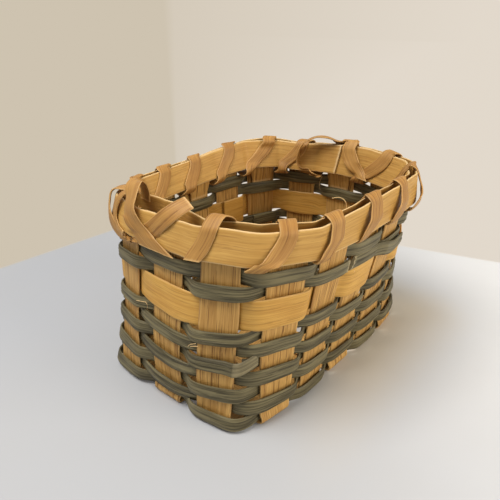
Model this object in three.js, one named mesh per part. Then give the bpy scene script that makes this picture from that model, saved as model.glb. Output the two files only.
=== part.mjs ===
// A small rectangular splint basket. Flat splints are woven into a base and turned up as sixteen
// stakes, eleven rows of weavers go round them over and under, and two rim bands are lashed on top.
// Millimetres, +Z up, the basket stands on z = 0 and its long side runs along X.
import * as THREE from 'three';

// Splints, the flat strips that make the base and the stakes
const LENGTHWISE_COUNT = 3;
const CROSSWISE_COUNT = 5;
const SPLINT_WIDTH = 16;
const SPLINT_THICK = 1.0;
const CROSSWISE_PITCH = 23;      // between the crosswise splints, measured along X at the base
const LENGTHWISE_PITCH = 25.5;   // between the lengthwise splints, measured along Y at the base
const PITCH_DRAW = 0.8;          // the stakes close up by this much per pitch at the rim
const STAKE_ROOM = 0.5;          // a weaver runs straight this far past a stake's edge
const BASE_DROP = 3.5;           // length in which a base splint comes down past its last crossing

// Wall shape
const END_MARGIN = 11.2;         // from the last crosswise splint's edge to the short wall
const SIDE_MARGIN = 8.8;         // from the last lengthwise splint's edge to the long wall
const END_DRAW = 5.0;            // the short walls come in by this much at the rim
const END_DRAW_POWER = 1.4;
const SIDE_FLARE = 8.0;          // the long walls go out by this much at the rim
const BASE_SQUARENESS = 6.5;     // exponent of the superellipse at the base, nearly a rectangle
const RIM_SQUARENESS = 3.4;      // and at the rim, a rounded oval
const SQUARENESS_FADE = 14;      // height over which the corners round off
const LEAN = 3.4;                // the rim stands this far towards -Y of the base
const TILT_X = 0.024;            // rise of the rim per mm along X
const TILT_Y = -0.018;           // rise of the rim per mm along Y
const FOLD_RADIUS = 1.2;         // where a splint turns up into a stake

// Weavers
const WEAVER_WIDTH = 5.5;
const WEAVER_THICK = 1.4;
const WIDE_ROW_WIDTH = 12.6;
const NARROW_ROWS_BELOW = 7;     // rows under the wide one
const ROW_BULGE = 0.35;          // how far a weaver bows away from the middle of a stake
const FIRST_ROW_Z = 1.4;
const AIR = 0.35;                // clearance between touching layers
const RISE_START = 30;           // above this height the rows ride up at the near corner
const CORNER_RISE = 1.5;         // by this much
const CORNER_RISE_REACH = 1.8;   // in stakes
const TOP_ROW_RISE = 3.2;        // the top row slopes up by this much to the near long wall
const LASH_SLOT = 1.4;           // slot under the top row, where the lashing goes through
const SPLICE_DROP = 2.1;         // the doubled end of the ninth row hangs this much lower

// Rim
const BAND_HEIGHT = 13.4;        // the inner band
const OUTER_BAND_HEIGHT = 12.2;
const BAND_THICK = 0.9;
const BAND_LIFT = 1.9;           // the inner band starts this far above the top row's lower edge
const BAND_LEAN_OUTER = 1.5;     // the bands' upper edges are pulled together by the lashing
const BAND_LEAN_INNER = 2.8;
const CORNER_SLACK = 4.2;        // the inner band stands off at the near corner
const CORNER_SLACK_REACH = 0.8;  // in stakes
const END_SLACK = 9;             // and more on the far part of the near short wall
const END_SLACK_REACH = 0.95;    // in stakes
const END_SLACK_AT = 0.45;       // in stakes
const SLACK_LOW = 0.5;           // share of the slack that the band's lower edge has
const BAND_LAP = 1.3;            // how far a band's ends lap, in stakes
const BAND_LAP_EASE = 0.6;       // and how far past the lap the upper layer comes down, in stakes
const FLUSH_BELOW_RIM = 4.5;     // a stake cut flush ends this far under the bands' upper edge
const TIP_WIDTH = 11;            // width at the end of a folded stake tip
const TIP_HOLD = 5.5;            // a tip hangs straight this far before it goes in to the stake
const TIP_TAPER = 0.4;           // share of its taper that a tip has where it stops hanging straight

// Lashing
const LASH_WIDTH = 7.0;
const LASH_THICK = 0.8;
const LASH_AIR = 0.65;           // clearance under the lashing, which lies flat on a curved band
const LASH_SPREAD = 0.25;        // half of the width that a turn takes up round the rim, in stakes
const LASH_ENTRY = 1.8;          // height over which the strip turns up from the slot to a band
const LASH_RUN_STEPS = [0.25, 0.5, 0.75];
const LASH_RUN_REACH = 0.8;      // part of its way round that a turn has made at the band's edge
const LASH_RUN_CURVE = 0.7;      // a run is shallow at its lower end and steep at its upper end
const LASH_START = 0.02;         // share of a band's height where a run leaves its lower place
const CROWN_RISE = 0.35;         // the strip arches this much over the rim
const EDGE_DROP = 0.4;           // it still lies on the band this far under the rim
const EDGE_PULL = 0.7;           // and turns in by this much over the band's edge
const EDGE_SINK = 0.1;
const EDGE_FACE = [0.5, 0.85];   // its way out there, outward and upward
const TAIL_REACH = 6;            // the last turn's cut end sticks out this far past the rim's middle
const TAIL_ALONG = 0.15;         // in stakes
const HANGING_END = 1.5;         // the near cross strip's cut end hangs this far under the slot
const HANGING_TUCK = 1.0;        // and this far in
// One line per turn: where it goes through the wall and over the rim, in stakes, then how far it
// stands off outside, at the crown and inside. The strip was pulled tight by hand, so they differ.
const LASH_TURNS = [
  [1.62, 1.86, 0, 2.2, 0],
  [2.5, 2.94, 0, 1.2, 0],
  [3.46, 3.75, 0, 0.8, 0],
  [4.44, 4.92, 0.3, 0.8, 0],
  [5.48, 5.84, 0.5, 0.6, 0],
  [6.44, 6.9, 1.6, 1.2, 0.4],
  [7.5, 7.86, 0, 0.6, 0.3],
  [8.46, 9.43, 0, 3.2, 1.5],
  [9.56, 10.04, 0, 0.5, 0],
  [10.5, 10.77, 0, 0.5, 0],
  [11.5, 11.89, 0, 0.4, 0],
  [12.5, 12.97, 0, 0.6, 0],
  [13.5, 13.9, 0, 0.8, 0],
  [14.5, 14.75, 0.5, 0.8, 1.8],
  [15.56, 15.42, 2.2, 1.0, 0],
  [16.5, 17.05, 0, 0.8, 0],
];
// The two crossing strips, from low outside through the top to low inside
const NEAR_CROSS = { outside: 1.4, over: -0.05, inside: -0.2, curve: 0.4, end: 1.32 };
const NEAR_CROSS_STATIONS = 4;   // it is cut off short inside
const FAR_CROSS = { outside: 8.9, over: 8.88, inside: 8.05 };

const TAN = 0xc89a58;
const BAND_TAN = 0xd2a462;
const LASH_TAN = 0xc08d52;
const OLIVE = 0x68634c;

const STAKE_COUNT = 2 * (LENGTHWISE_COUNT + CROSSWISE_COUNT);
const EDGE = 0.35;                          // part of a stake step that lies on the stake itself
const LAP_GRIP = 0.7 * EDGE;                // a row's end goes this far past the middle of a stake
const REACH = SPLINT_WIDTH / 2 + STAKE_ROOM;
const WEAVE = (SPLINT_THICK + WEAVER_THICK) / 2 + AIR;
const LAYER = WEAVER_THICK + AIR;
const tipOffset = -(WEAVE + WEAVER_THICK / 2 + AIR + SPLINT_THICK / 2);
const nearCorner = LENGTHWISE_COUNT - 0.5;
const nearSide = LENGTHWISE_COUNT + 0.5;    // in stakes, where the top row is highest

const baseHalfLength = CROSSWISE_PITCH * (CROSSWISE_COUNT - 1) / 2 + SPLINT_WIDTH / 2 + END_MARGIN;
const baseHalfWidth = LENGTHWISE_PITCH * (LENGTHWISE_COUNT - 1) / 2 + SPLINT_WIDTH / 2 + SIDE_MARGIN;

// Row heights, from the floor up
const rowPitch = WEAVER_WIDTH + AIR;
const wideRowZ = FIRST_ROW_Z + NARROW_ROWS_BELOW * rowPitch;
const upperRowZ = wideRowZ + WIDE_ROW_WIDTH + AIR;
const secondUpperZ = upperRowZ + rowPitch;
const secondUpperEnd = secondUpperZ + WEAVER_WIDTH;
const topRowZ = secondUpperEnd + LASH_SLOT;
const topRowEnd = topRowZ + WEAVER_WIDTH;
const innerBandBottom = topRowZ + BAND_LIFT;
const rimTop = innerBandBottom + BAND_HEIGHT;
const outerBandBottom = rimTop - OUTER_BAND_HEIGHT;

const UP = new THREE.Vector3(0, 0, 1);
const mix = (from, to, t) => from + (to - from) * t;
const clamp = (t) => Math.min(Math.max(t, 0), 1);

// The wall's middle surface is a superellipse |x/a|^n + |y/b|^n = 1 that changes with height.
function outline(z) {
  const up = Math.max(z, 0) / rimTop;
  return {
    a: baseHalfLength - END_DRAW * up ** END_DRAW_POWER,
    b: baseHalfWidth + SIDE_FLARE * up,
    n: RIM_SQUARENESS + (BASE_SQUARENESS - RIM_SQUARENESS) * Math.exp(-z / SQUARENESS_FADE),
  };
}

// Stakes in order round the basket, anticlockwise from the far end of the -X wall.
const stakes = [];
const middleLength = (LENGTHWISE_COUNT - 1) / 2;
const middleCross = (CROSSWISE_COUNT - 1) / 2;
for (const sign of [-1, 1]) {
  for (let i = 0; i < LENGTHWISE_COUNT; i++) {
    stakes.push({ short: true, sign, slot: sign * (i - middleLength) });
  }
  for (let j = 0; j < CROSSWISE_COUNT; j++) {
    stakes.push({ short: false, sign, slot: -sign * (j - middleCross) });
  }
}

// Where stake k stands at height z: its middle, the way along the wall and the way out.
function foot(k, z) {
  const { short, sign, slot } = stakes[(k % STAKE_COUNT + STAKE_COUNT) % STAKE_COUNT];
  const { a, b, n } = outline(z);
  const closing = PITCH_DRAW * Math.max(z, 0) / rimTop;
  let x = 0;
  let y = 0;
  if (short) {
    y = slot * (LENGTHWISE_PITCH - closing);
    x = sign * a * (1 - Math.abs(y / b) ** n) ** (1 / n);
  } else {
    x = slot * (CROSSWISE_PITCH - closing);
    y = sign * b * (1 - Math.abs(x / a) ** n) ** (1 / n);
  }
  const out = new THREE.Vector3(
    Math.sign(x) * Math.abs(x / a) ** (n - 1) / a,
    Math.sign(y) * Math.abs(y / b) ** (n - 1) / b,
    0,
  ).normalize();
  const along = new THREE.Vector3(-out.y, out.x, 0);
  return { middle: new THREE.Vector3(x, y, z), along, out };
}

// A point by its place round the wall (in stakes), its distance out of the wall and its height.
// It runs straight across each stake and in a smooth curve from one stake to the next.
function place(round, offset, z) {
  const k = Math.floor(round);
  const part = round - k;
  const here = foot(k, z);
  const next = foot(k + 1, z);
  const onStake = (stake, side) => stake.middle.clone()
    .addScaledVector(stake.along, side)
    .addScaledVector(stake.out, offset);
  if (part <= EDGE) return onStake(here, REACH * part / EDGE);
  if (part >= 1 - EDGE) return onStake(next, -REACH * (1 - part) / EDGE);
  const t = (part - EDGE) / (1 - 2 * EDGE);
  const from = onStake(here, REACH);
  const to = onStake(next, -REACH);
  const pull = from.distanceTo(to);
  return from.multiplyScalar(2 * t ** 3 - 3 * t ** 2 + 1)
    .addScaledVector(to, -2 * t ** 3 + 3 * t ** 2)
    .addScaledVector(here.along, (t ** 3 - 2 * t ** 2 + t) * pull)
    .addScaledVector(next.along, (t ** 3 - t ** 2) * pull);
}

// The whole basket leans and its rim tilts a little, more with height.
function settle(point) {
  const up = (Math.max(point.z, 0) / rimTop) ** 2;
  const y = point.y + LEAN * (1 - up);
  return new THREE.Vector3(point.x, y, point.z + up * (TILT_X * point.x + TILT_Y * point.y));
}

// A bell shape round the basket, 1 at its centre and fading over its reach, both in stakes.
function bell(round, centre, reach) {
  const turned = (round - centre) % STAKE_COUNT + 1.5 * STAKE_COUNT;
  const away = turned % STAKE_COUNT - STAKE_COUNT / 2;
  return Math.exp(-((away / reach) ** 2));
}

// The upper rows ride up at the near corner, and the top row slopes up to the near long wall.
function rowRise(round, z) {
  const share = clamp((z - RISE_START) / (upperRowZ - RISE_START));
  return CORNER_RISE * share * bell(round, nearCorner, CORNER_RISE_REACH);
}

function topRise(round) {
  return TOP_ROW_RISE * (1 + Math.cos(2 * Math.PI * (round - nearSide) / STAKE_COUNT)) / 2;
}

// A closed solid from a list of sections with four corners each.
function stripSolid(sections) {
  const positions = [];
  for (const corners of sections) {
    for (const corner of corners) {
      const p = settle(corner);
      positions.push(p.x, p.y, p.z);
    }
  }
  const index = [];
  for (let i = 0; i + 1 < sections.length; i++) {
    for (let j = 0; j < 4; j++) {
      const a = 4 * i + j;
      const b = 4 * i + (j + 1) % 4;
      index.push(a, b, b + 4, a, b + 4, a + 4);
    }
  }
  const last = 4 * (sections.length - 1);
  index.push(2, 1, 0, 3, 2, 0, last, last + 1, last + 2, last, last + 2, last + 3);
  if (signedVolume(positions, index) < 0) index.reverse();
  const geometry = new THREE.BufferGeometry();
  geometry.setAttribute('position', new THREE.Float32BufferAttribute(positions, 3));
  geometry.setIndex(index);
  geometry.computeVertexNormals();
  return geometry;
}

function signedVolume(positions, index) {
  const corner = (i) => new THREE.Vector3().fromArray(positions, 3 * i);
  let volume = 0;
  for (let i = 0; i < index.length; i += 3) {
    volume += corner(index[i]).dot(corner(index[i + 1]).cross(corner(index[i + 2]))) / 6;
  }
  return volume;
}

// The four corners of a flat strip: its middle, the way across it and the way out of its face.
function corners(middle, across, out, width, thick) {
  const corner = (u, v) => middle.clone()
    .addScaledVector(across, u * width / 2)
    .addScaledVector(out, v * thick / 2);
  return [corner(-1, -1), corner(1, -1), corner(1, 1), corner(-1, 1)];
}

const basket = new THREE.Group();

function add(name, geometry, color, roughness) {
  const material = new THREE.MeshStandardMaterial({ color, roughness, metalness: 0, flatShading: true });
  const mesh = new THREE.Mesh(geometry, material);
  mesh.name = name;
  basket.add(mesh);
}

// Splints
const WALL_STEPS = 5;
const foldZ = SPLINT_THICK / 2 + FOLD_RADIUS;

// A stake with an odd number passes outside the top row, so its tip folds in over that row.
// turn is 1 on the wall where the splint's across direction runs along the wall, -1 on the far one.
function stakeSections(k, turn) {
  const sections = [];
  // a section by its offset, its height, how far its face is turned up and the stake's own height
  const section = (offset, z, angle, width, stakeZ = z) => {
    const { middle, along, out } = foot(k, stakeZ);
    const face = out.clone().multiplyScalar(Math.cos(angle)).addScaledVector(UP, Math.sin(angle));
    const at = middle.addScaledVector(out, offset).setZ(z);
    sections.push(corners(at, along.clone().multiplyScalar(turn), face, width, SPLINT_THICK));
  };
  for (const angle of [Math.PI / 2, Math.PI / 4]) {
    const offset = FOLD_RADIUS * (Math.cos(angle) - 1);
    section(offset, foldZ - FOLD_RADIUS * Math.sin(angle), -angle, SPLINT_WIDTH, foldZ);
  }
  const folded = k % 2 === 1;
  const straightTop = folded ? topRowEnd + topRise(k) : rimTop - FLUSH_BELOW_RIM;
  for (let i = 0; i <= WALL_STEPS; i++) {
    section(0, mix(foldZ, straightTop, i / WALL_STEPS), 0, SPLINT_WIDTH);
  }
  if (folded) {
    const radius = -tipOffset / 2;
    for (const angle of [Math.PI / 4, Math.PI / 2, 3 * Math.PI / 4]) {
      const offset = radius * (Math.cos(angle) - 1);
      section(offset, straightTop + radius * Math.sin(angle), angle, SPLINT_WIDTH, straightTop);
    }
    const rowBelowEnd = upperRowZ + WEAVER_WIDTH;
    const tuckedZ = rowBelowEnd + rowRise(k, rowBelowEnd) + 2 * AIR;
    section(tipOffset, straightTop, Math.PI, SPLINT_WIDTH);
    section(tipOffset, straightTop - TIP_HOLD, Math.PI, mix(SPLINT_WIDTH, TIP_WIDTH, TIP_TAPER));
    section(-(SPLINT_THICK + AIR), tuckedZ, Math.PI, TIP_WIDTH);
  }
  return sections;
}

// One splint: up one wall, across the base over and under the splints that it meets, up the other.
function splint(lengthwise, number) {
  const count = lengthwise ? LENGTHWISE_COUNT : CROSSWISE_COUNT;
  const crossed = lengthwise ? CROSSWISE_COUNT : LENGTHWISE_COUNT;
  const pitch = lengthwise ? CROSSWISE_PITCH : LENGTHWISE_PITCH;
  const spacing = lengthwise ? LENGTHWISE_PITCH : CROSSWISE_PITCH;
  const nearStake = lengthwise ? number : LENGTHWISE_COUNT + number;
  const farStake = lengthwise
    ? 2 * LENGTHWISE_COUNT + CROSSWISE_COUNT - 1 - number
    : STAKE_COUNT - 1 - number;
  const slot = lengthwise ? (count - 1) / 2 - number : number - (count - 1) / 2;
  const across = lengthwise ? new THREE.Vector3(0, -1, 0) : new THREE.Vector3(1, 0, 0);
  const low = SPLINT_THICK / 2;
  const high = low + SPLINT_THICK + AIR;
  const sections = stakeSections(nearStake, 1).reverse();
  const level = (centre, z) => {
    const middle = lengthwise
      ? new THREE.Vector3(centre, slot * spacing, z)
      : new THREE.Vector3(slot * spacing, centre, z);
    sections.push(corners(middle, across, new THREE.Vector3(0, 0, -1), SPLINT_WIDTH, SPLINT_THICK));
  };
  const reachOfCrossings = (crossed - 1) / 2 * pitch + REACH + BASE_DROP;
  level(-reachOfCrossings, low);
  for (let i = 0; i < crossed; i++) {
    // lengthwise number 0 is the far one, so the numbers of both kinds settle who lies under
    const other = lengthwise ? i : crossed - 1 - i;
    const lengthwiseUnder = (number + other) % 2 === 0;
    const z = lengthwiseUnder === lengthwise ? low : high;
    const centre = (i - (crossed - 1) / 2) * pitch;
    level(centre - REACH, z);
    level(centre + REACH, z);
  }
  level(reachOfCrossings, low);
  sections.push(...stakeSections(farStake, -1));
  return stripSolid(sections);
}

for (let i = 0; i < LENGTHWISE_COUNT; i++) {
  add(`lengthwise_splint_${i + 1}`, splint(true, i), TAN, 0.75);
}
for (let j = 0; j < CROSSWISE_COUNT; j++) {
  add(`crosswise_splint_${j + 1}`, splint(false, j), TAN, 0.75);
}

// Weavers
const OUTSIDE_EVEN = 0;
const OUTSIDE_ODD = 1;
const KNOT_GAP = 0.02;           // the least distance between two knots of a path, in stakes
const LAP_STAKES = [13, 10, 15, 12, null, 14, 11];
const WIDE_ROW_LAP = 12;
const SECOND_UPPER_LAP = 14;
const TOP_ROW_SEAM = 12;
const TOP_ROW_GAP = 0.03;
// the fifth row's ends meet in the open at the near corner, one in front of the other
const FIFTH_ROW_START = [2.42, -0.2];
const FIFTH_ROW_END = [STAKE_COUNT + 2.47, WEAVE];
// the ninth row stops in front of the near wall, and a doubled end starts beside it
const NINTH_ROW_START = 5;
const NINTH_ROW_END = STAKE_COUNT + 4.41;
const SPLICE_START = 4.56;
const SPLICE_STAKE = NINTH_ROW_START;

// A path of [round, offset] knots from start to end, outside every second stake.
function weavePath(parity, start, end, bulge = ROW_BULGE) {
  const knots = [start];
  for (let k = Math.floor(start[0]); k <= Math.ceil(end[0]); k++) {
    const side = (k % 2 === 0) === (parity === OUTSIDE_EVEN) ? 1 : -1;
    const stakeKnots = [
      [k - EDGE, side * WEAVE],
      [k, side * (WEAVE + bulge)],
      [k + EDGE, side * WEAVE],
      [k + 0.5, 0],
    ];
    for (const knot of stakeKnots) {
      if (knot[0] > start[0] + KNOT_GAP && knot[0] < end[0] - KNOT_GAP) knots.push(knot);
    }
  }
  knots.push(end);
  return knots;
}

function weaver(knots, bottom, width, rise = rowRise, drop = () => 0) {
  return stripSolid(knots.map(([round, offset]) => {
    const corner = (side, z) => {
      const settled = z + rise(round, z) - drop(round);
      return place(round, offset + side * WEAVER_THICK / 2, settled);
    };
    const top = bottom + width;
    return [corner(-1, bottom), corner(1, bottom), corner(1, top), corner(-1, top)];
  }));
}

// A row whose ends lap on the inside of stake lap, the second layer further in.
function lappedPath(parity, lap) {
  const finish = lap + STAKE_COUNT;
  const knots = weavePath(parity, [lap - LAP_GRIP, -WEAVE], [finish + LAP_GRIP, -WEAVE]);
  return knots.map(([round, offset]) => [round, round > finish - 0.5 ? offset - LAYER : offset]);
}

for (let i = 0; i < NARROW_ROWS_BELOW; i++) {
  const parity = i % 2 === 0 ? OUTSIDE_EVEN : OUTSIDE_ODD;
  const bottom = FIRST_ROW_Z + i * rowPitch;
  const knots = LAP_STAKES[i] === null
    ? weavePath(parity, FIFTH_ROW_START, FIFTH_ROW_END)
    : lappedPath(parity, LAP_STAKES[i]);
  add(`weaver_row_${String(i + 1).padStart(2, '0')}`, weaver(knots, bottom, WEAVER_WIDTH), OLIVE, 0.8);
}
const wideRow = weaver(lappedPath(OUTSIDE_ODD, WIDE_ROW_LAP), wideRowZ, WIDE_ROW_WIDTH);
add('weaver_row_08_wide', wideRow, BAND_TAN, 0.75);
const ninthPath = weavePath(OUTSIDE_EVEN, [NINTH_ROW_START - LAP_GRIP, -WEAVE], [NINTH_ROW_END, WEAVE]);
add('weaver_row_09', weaver(ninthPath, upperRowZ, WEAVER_WIDTH), OLIVE, 0.8);
const tenthRow = weaver(lappedPath(OUTSIDE_ODD, SECOND_UPPER_LAP), secondUpperZ, WEAVER_WIDTH);
add('weaver_row_10', tenthRow, OLIVE, 0.8);
const topStart = [TOP_ROW_SEAM + TOP_ROW_GAP, WEAVE];
const topEnd = [TOP_ROW_SEAM + STAKE_COUNT - TOP_ROW_GAP, WEAVE];
const topPath = weavePath(OUTSIDE_EVEN, topStart, topEnd, 0);
add('weaver_row_11_top', weaver(topPath, topRowZ, WEAVER_WIDTH, topRise), OLIVE, 0.8);

// The doubled end lies on its first stake like a row, then a layer further out over the next one.
const nextStake = SPLICE_STAKE + 1;
const splicePath = [
  [SPLICE_START, WEAVE],
  [SPLICE_STAKE - EDGE, WEAVE],
  [SPLICE_STAKE, WEAVE + ROW_BULGE],
  [SPLICE_STAKE + EDGE, WEAVE],
  [SPLICE_STAKE + 0.5, WEAVE + LAYER / 2],
  [nextStake - EDGE, WEAVE + LAYER],
  [nextStake, WEAVE + LAYER + ROW_BULGE],
  [nextStake + EDGE, WEAVE + LAYER],
];
const spliceDrop = (round) => SPLICE_DROP * clamp(2 * (round - SPLICE_STAKE - 0.5));
add('weaver_row_09_splice', weaver(splicePath, upperRowZ, WEAVER_WIDTH, rowRise, spliceDrop), OLIVE, 0.8);

// Rim bands
// Each band leans about the height where the top row or a folded tip holds it away.
const OUTER_LAP = 12;
const INNER_LAP = 9;
const outerHoldOffset = WEAVE + WEAVER_THICK / 2 + AIR + BAND_THICK / 2;
const innerHoldOffset = tipOffset - SPLINT_THICK / 2 - AIR - BAND_THICK / 2;

function outerAt(round, share) {
  const holdShare = (topRowEnd + topRise(round) - outerBandBottom) / OUTER_BAND_HEIGHT;
  return outerHoldOffset + BAND_LEAN_OUTER * (holdShare - share);
}

function innerAt(round, share) {
  const holdShare = (topRowEnd + topRise(round) - innerBandBottom) / BAND_HEIGHT;
  const slack = CORNER_SLACK * bell(round, nearCorner, CORNER_SLACK_REACH)
    + END_SLACK * bell(round, END_SLACK_AT, END_SLACK_REACH);
  return innerHoldOffset + BAND_LEAN_INNER * (share - holdShare) - slack * mix(SLACK_LOW, 1, share);
}

const outerSide = { sign: 1, at: outerAt, bottom: outerBandBottom, height: OUTER_BAND_HEIGHT, lap: OUTER_LAP };
const innerSide = { sign: -1, at: innerAt, bottom: innerBandBottom, height: BAND_HEIGHT, lap: INNER_LAP };

function band({ sign, at, bottom, height, lap }) {
  const last = lap + STAKE_COUNT + BAND_LAP;
  const rounds = [];
  for (let k = lap; k <= last; k++) {
    for (const step of [0, EDGE, 0.5, 1 - EDGE]) {
      if (k + step <= last) rounds.push(k + step);
    }
  }
  return stripSolid(rounds.map((round) => {
    // the first end lies a layer further away, and comes down to the band past the lap
    const past = clamp((round - lap - BAND_LAP) / BAND_LAP_EASE);
    const lift = sign * (BAND_THICK + AIR) * (1 - past);
    const corner = (side, share) => {
      const offset = at(round, share) + lift + side * BAND_THICK / 2;
      return place(round, offset, bottom + share * height);
    };
    return [corner(-1, 0), corner(1, 0), corner(1, 1), corner(-1, 1)];
  }));
}

add('rim_band_outer', band(outerSide), BAND_TAN, 0.7);
add('rim_band_inner', band(innerSide), BAND_TAN, 0.7);

// Lashing
// The strip goes through under the top row between two stakes, up the outside, over the rim and
// down the inside. Each station is [round, offset, height, way out of the strip].
const lashGap = LASH_AIR + LASH_THICK / 2 + BAND_THICK / 2;
const crown = rimTop + AIR + LASH_THICK / 2;
const slotZ = (round) => secondUpperEnd + rowRise(round, secondUpperEnd) + LASH_SLOT / 2;
const crossLayer = LASH_THICK + 2 * AIR;

function lapLift(round, lap) {
  const past = ((round + LASH_SPREAD - lap) % STAKE_COUNT + STAKE_COUNT) % STAKE_COUNT;
  return past < BAND_LAP + BAND_LAP_EASE + LASH_SPREAD ? BAND_THICK + AIR : 0;
}

// how far the curved wall falls away from flat over the width of the strip
function bow(round) {
  const at = (r) => place(r, 0, rimTop);
  const middle = at(round).multiplyScalar(2);
  return middle.sub(at(round - LASH_SPREAD)).sub(at(round + LASH_SPREAD)).length() / 2;
}

// offset at which the strip clears a band's face
function faceOffset({ sign, at, lap }, round, share) {
  const slant = Math.abs(at(round + LASH_SPREAD, share) - at(round - LASH_SPREAD, share)) / 2;
  return at(round, share) + sign * (lashGap + lapLift(round, lap) + bow(round) + slant);
}

// One run of the strip up a band's face, from its lower end to over the band's edge.
function faceRun(side, bottomRound, topRound, layer, loose = 0, curve = LASH_RUN_CURVE) {
  const { sign, bottom, height } = side;
  const heights = [slotZ(bottomRound) + LASH_ENTRY];
  for (const t of LASH_RUN_STEPS) heights.push(bottom + t * height);
  heights.push(rimTop - EDGE_DROP);
  const stations = heights.map((z) => {
    const share = (z - bottom) / height;
    const part = LASH_RUN_REACH * Math.max(share, LASH_START) ** curve;
    const round = mix(bottomRound, topRound, part);
    const slope = sign * (faceOffset(side, round, 0) - faceOffset(side, round, 1)) / height;
    const stand = layer + loose * Math.sin(Math.PI * clamp(share)) ** 2;
    return [round, faceOffset(side, round, share) + sign * stand, z, [sign, slope]];
  });
  const round = mix(bottomRound, topRound, LASH_RUN_REACH);
  const offset = faceOffset(side, round, 1) - sign * EDGE_PULL;
  const [outward, upward] = EDGE_FACE;
  stations.push([round, offset, crown + layer - EDGE_SINK, [outward * sign, upward]]);
  return stations;
}

function crownPoint(round, layer, rise = 0) {
  const middle = (faceOffset(outerSide, round, 1) + faceOffset(innerSide, round, 1)) / 2;
  return [round, middle, crown + layer + CROWN_RISE + rise, [0, 1]];
}

// how far it is to the edge of the nearest stake
function roomBeside(round) {
  const nearest = place(Math.round(round), 0, slotZ(round));
  return place(round, 0, slotZ(round)).distanceTo(nearest) - SPLINT_WIDTH / 2 - AIR;
}

function lash(stations) {
  const middles = stations.map(([round, offset, z]) => place(round, offset, z));
  return stripSolid(stations.map(([round, offset, , [outward, upward]], i) => {
    const before = middles[Math.max(i - 1, 0)];
    const after = middles[Math.min(i + 1, middles.length - 1)];
    const onward = after.clone().sub(before).normalize();
    const outOfWall = place(round, offset + 1, middles[i].z).sub(middles[i]).normalize();
    const face = outOfWall.multiplyScalar(outward).addScaledVector(UP, upward).normalize();
    face.addScaledVector(onward, -face.dot(onward)).normalize();
    const across = new THREE.Vector3().crossVectors(onward, face);
    // it curls up narrower to slip past the nearer stake
    const passing = upward === -1;
    const width = passing ? Math.min(LASH_WIDTH, 2 * roomBeside(round)) : LASH_WIDTH;
    return corners(middles[i], across, face, width, LASH_THICK);
  }));
}

const lashing = [];
LASH_TURNS.forEach(([through, over, looseOutside, rise, looseInside], turn) => {
  if (turn > 0) {
    const z = slotZ(through);
    const inner = faceOffset(innerSide, through, 0) + LASH_THICK;
    const outer = faceOffset(outerSide, through, 0) - LASH_THICK;
    for (const offset of [inner, 0, outer]) lashing.push([through, offset, z, [0, -1]]);
  }
  lashing.push(...faceRun(outerSide, through, over, 0, looseOutside));
  const top = crownPoint(over, 0, rise);
  lashing.push(top);
  const next = LASH_TURNS[turn + 1];
  if (next) {
    lashing.push(...faceRun(innerSide, next[0], over, 0, looseInside).reverse());
  } else {
    // the last turn ends in a cut end that sticks out over the opening
    lashing.push([over + TAIL_ALONG, top[1] - TAIL_REACH, top[2], [0, 1]]);
  }
});
add('rim_lashing', lash(lashing), LASH_TAN, 0.7);

// A second strip crosses the lashing with the other slant on each short side.
const { outside, over, inside, curve, end } = NEAR_CROSS;
const hanging = faceOffset(outerSide, end, 0) + crossLayer - HANGING_TUCK;
add('lashing_cross_near', lash([
  [end, hanging, slotZ(end) - HANGING_END, [1, 0]],
  ...faceRun(outerSide, outside, over, crossLayer, 0, curve),
  crownPoint(over, crossLayer),
  ...faceRun(innerSide, inside, over, crossLayer).reverse().slice(0, NEAR_CROSS_STATIONS),
]), LASH_TAN, 0.7);
add('lashing_cross_far', lash([
  ...faceRun(outerSide, FAR_CROSS.outside, FAR_CROSS.over, crossLayer).slice(1),
  crownPoint(FAR_CROSS.over, crossLayer),
  ...faceRun(innerSide, FAR_CROSS.inside, FAR_CROSS.over, crossLayer).reverse(),
]), LASH_TAN, 0.7);

// The lashing's least distance to itself, between places at least half a turn apart on the strip
const route = lashing.map(([round, offset, z]) => settle(place(round, offset, z)));
const HALF_TURN = 6;             // stations
let least = Infinity;
for (let i = 0; i < route.length; i++) {
  for (let j = i + HALF_TURN; j < route.length; j++) {
    least = Math.min(least, route[i].distanceTo(route[j]) - LASH_THICK);
  }
}
console.log(`least gap of the lashing to itself, between its stations: ${least.toFixed(2)} mm`);

// The origin is under the middle of the basket's box.
const box = new THREE.Box3().setFromObject(basket);
const middle = box.getCenter(new THREE.Vector3());
basket.position.set(-middle.x, -middle.y, -box.min.z);

export default basket;
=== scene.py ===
# %% [markdown]
# # A splint basket
# A small rectangular basket, woven from flat wood strips. Eight wide natural splints make the base
# and turn up as sixteen stakes, eleven rows of weavers go round them over and under, and two flat
# bands with a lashing strip make the rim. Every strip here is one surface: a line through space
# with a flat, round-edged section carried along it. The CAD model has the same strips as plain
# solids, and each fine strip takes the place of its own solid.

# %% The frame and the tools
import math

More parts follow.
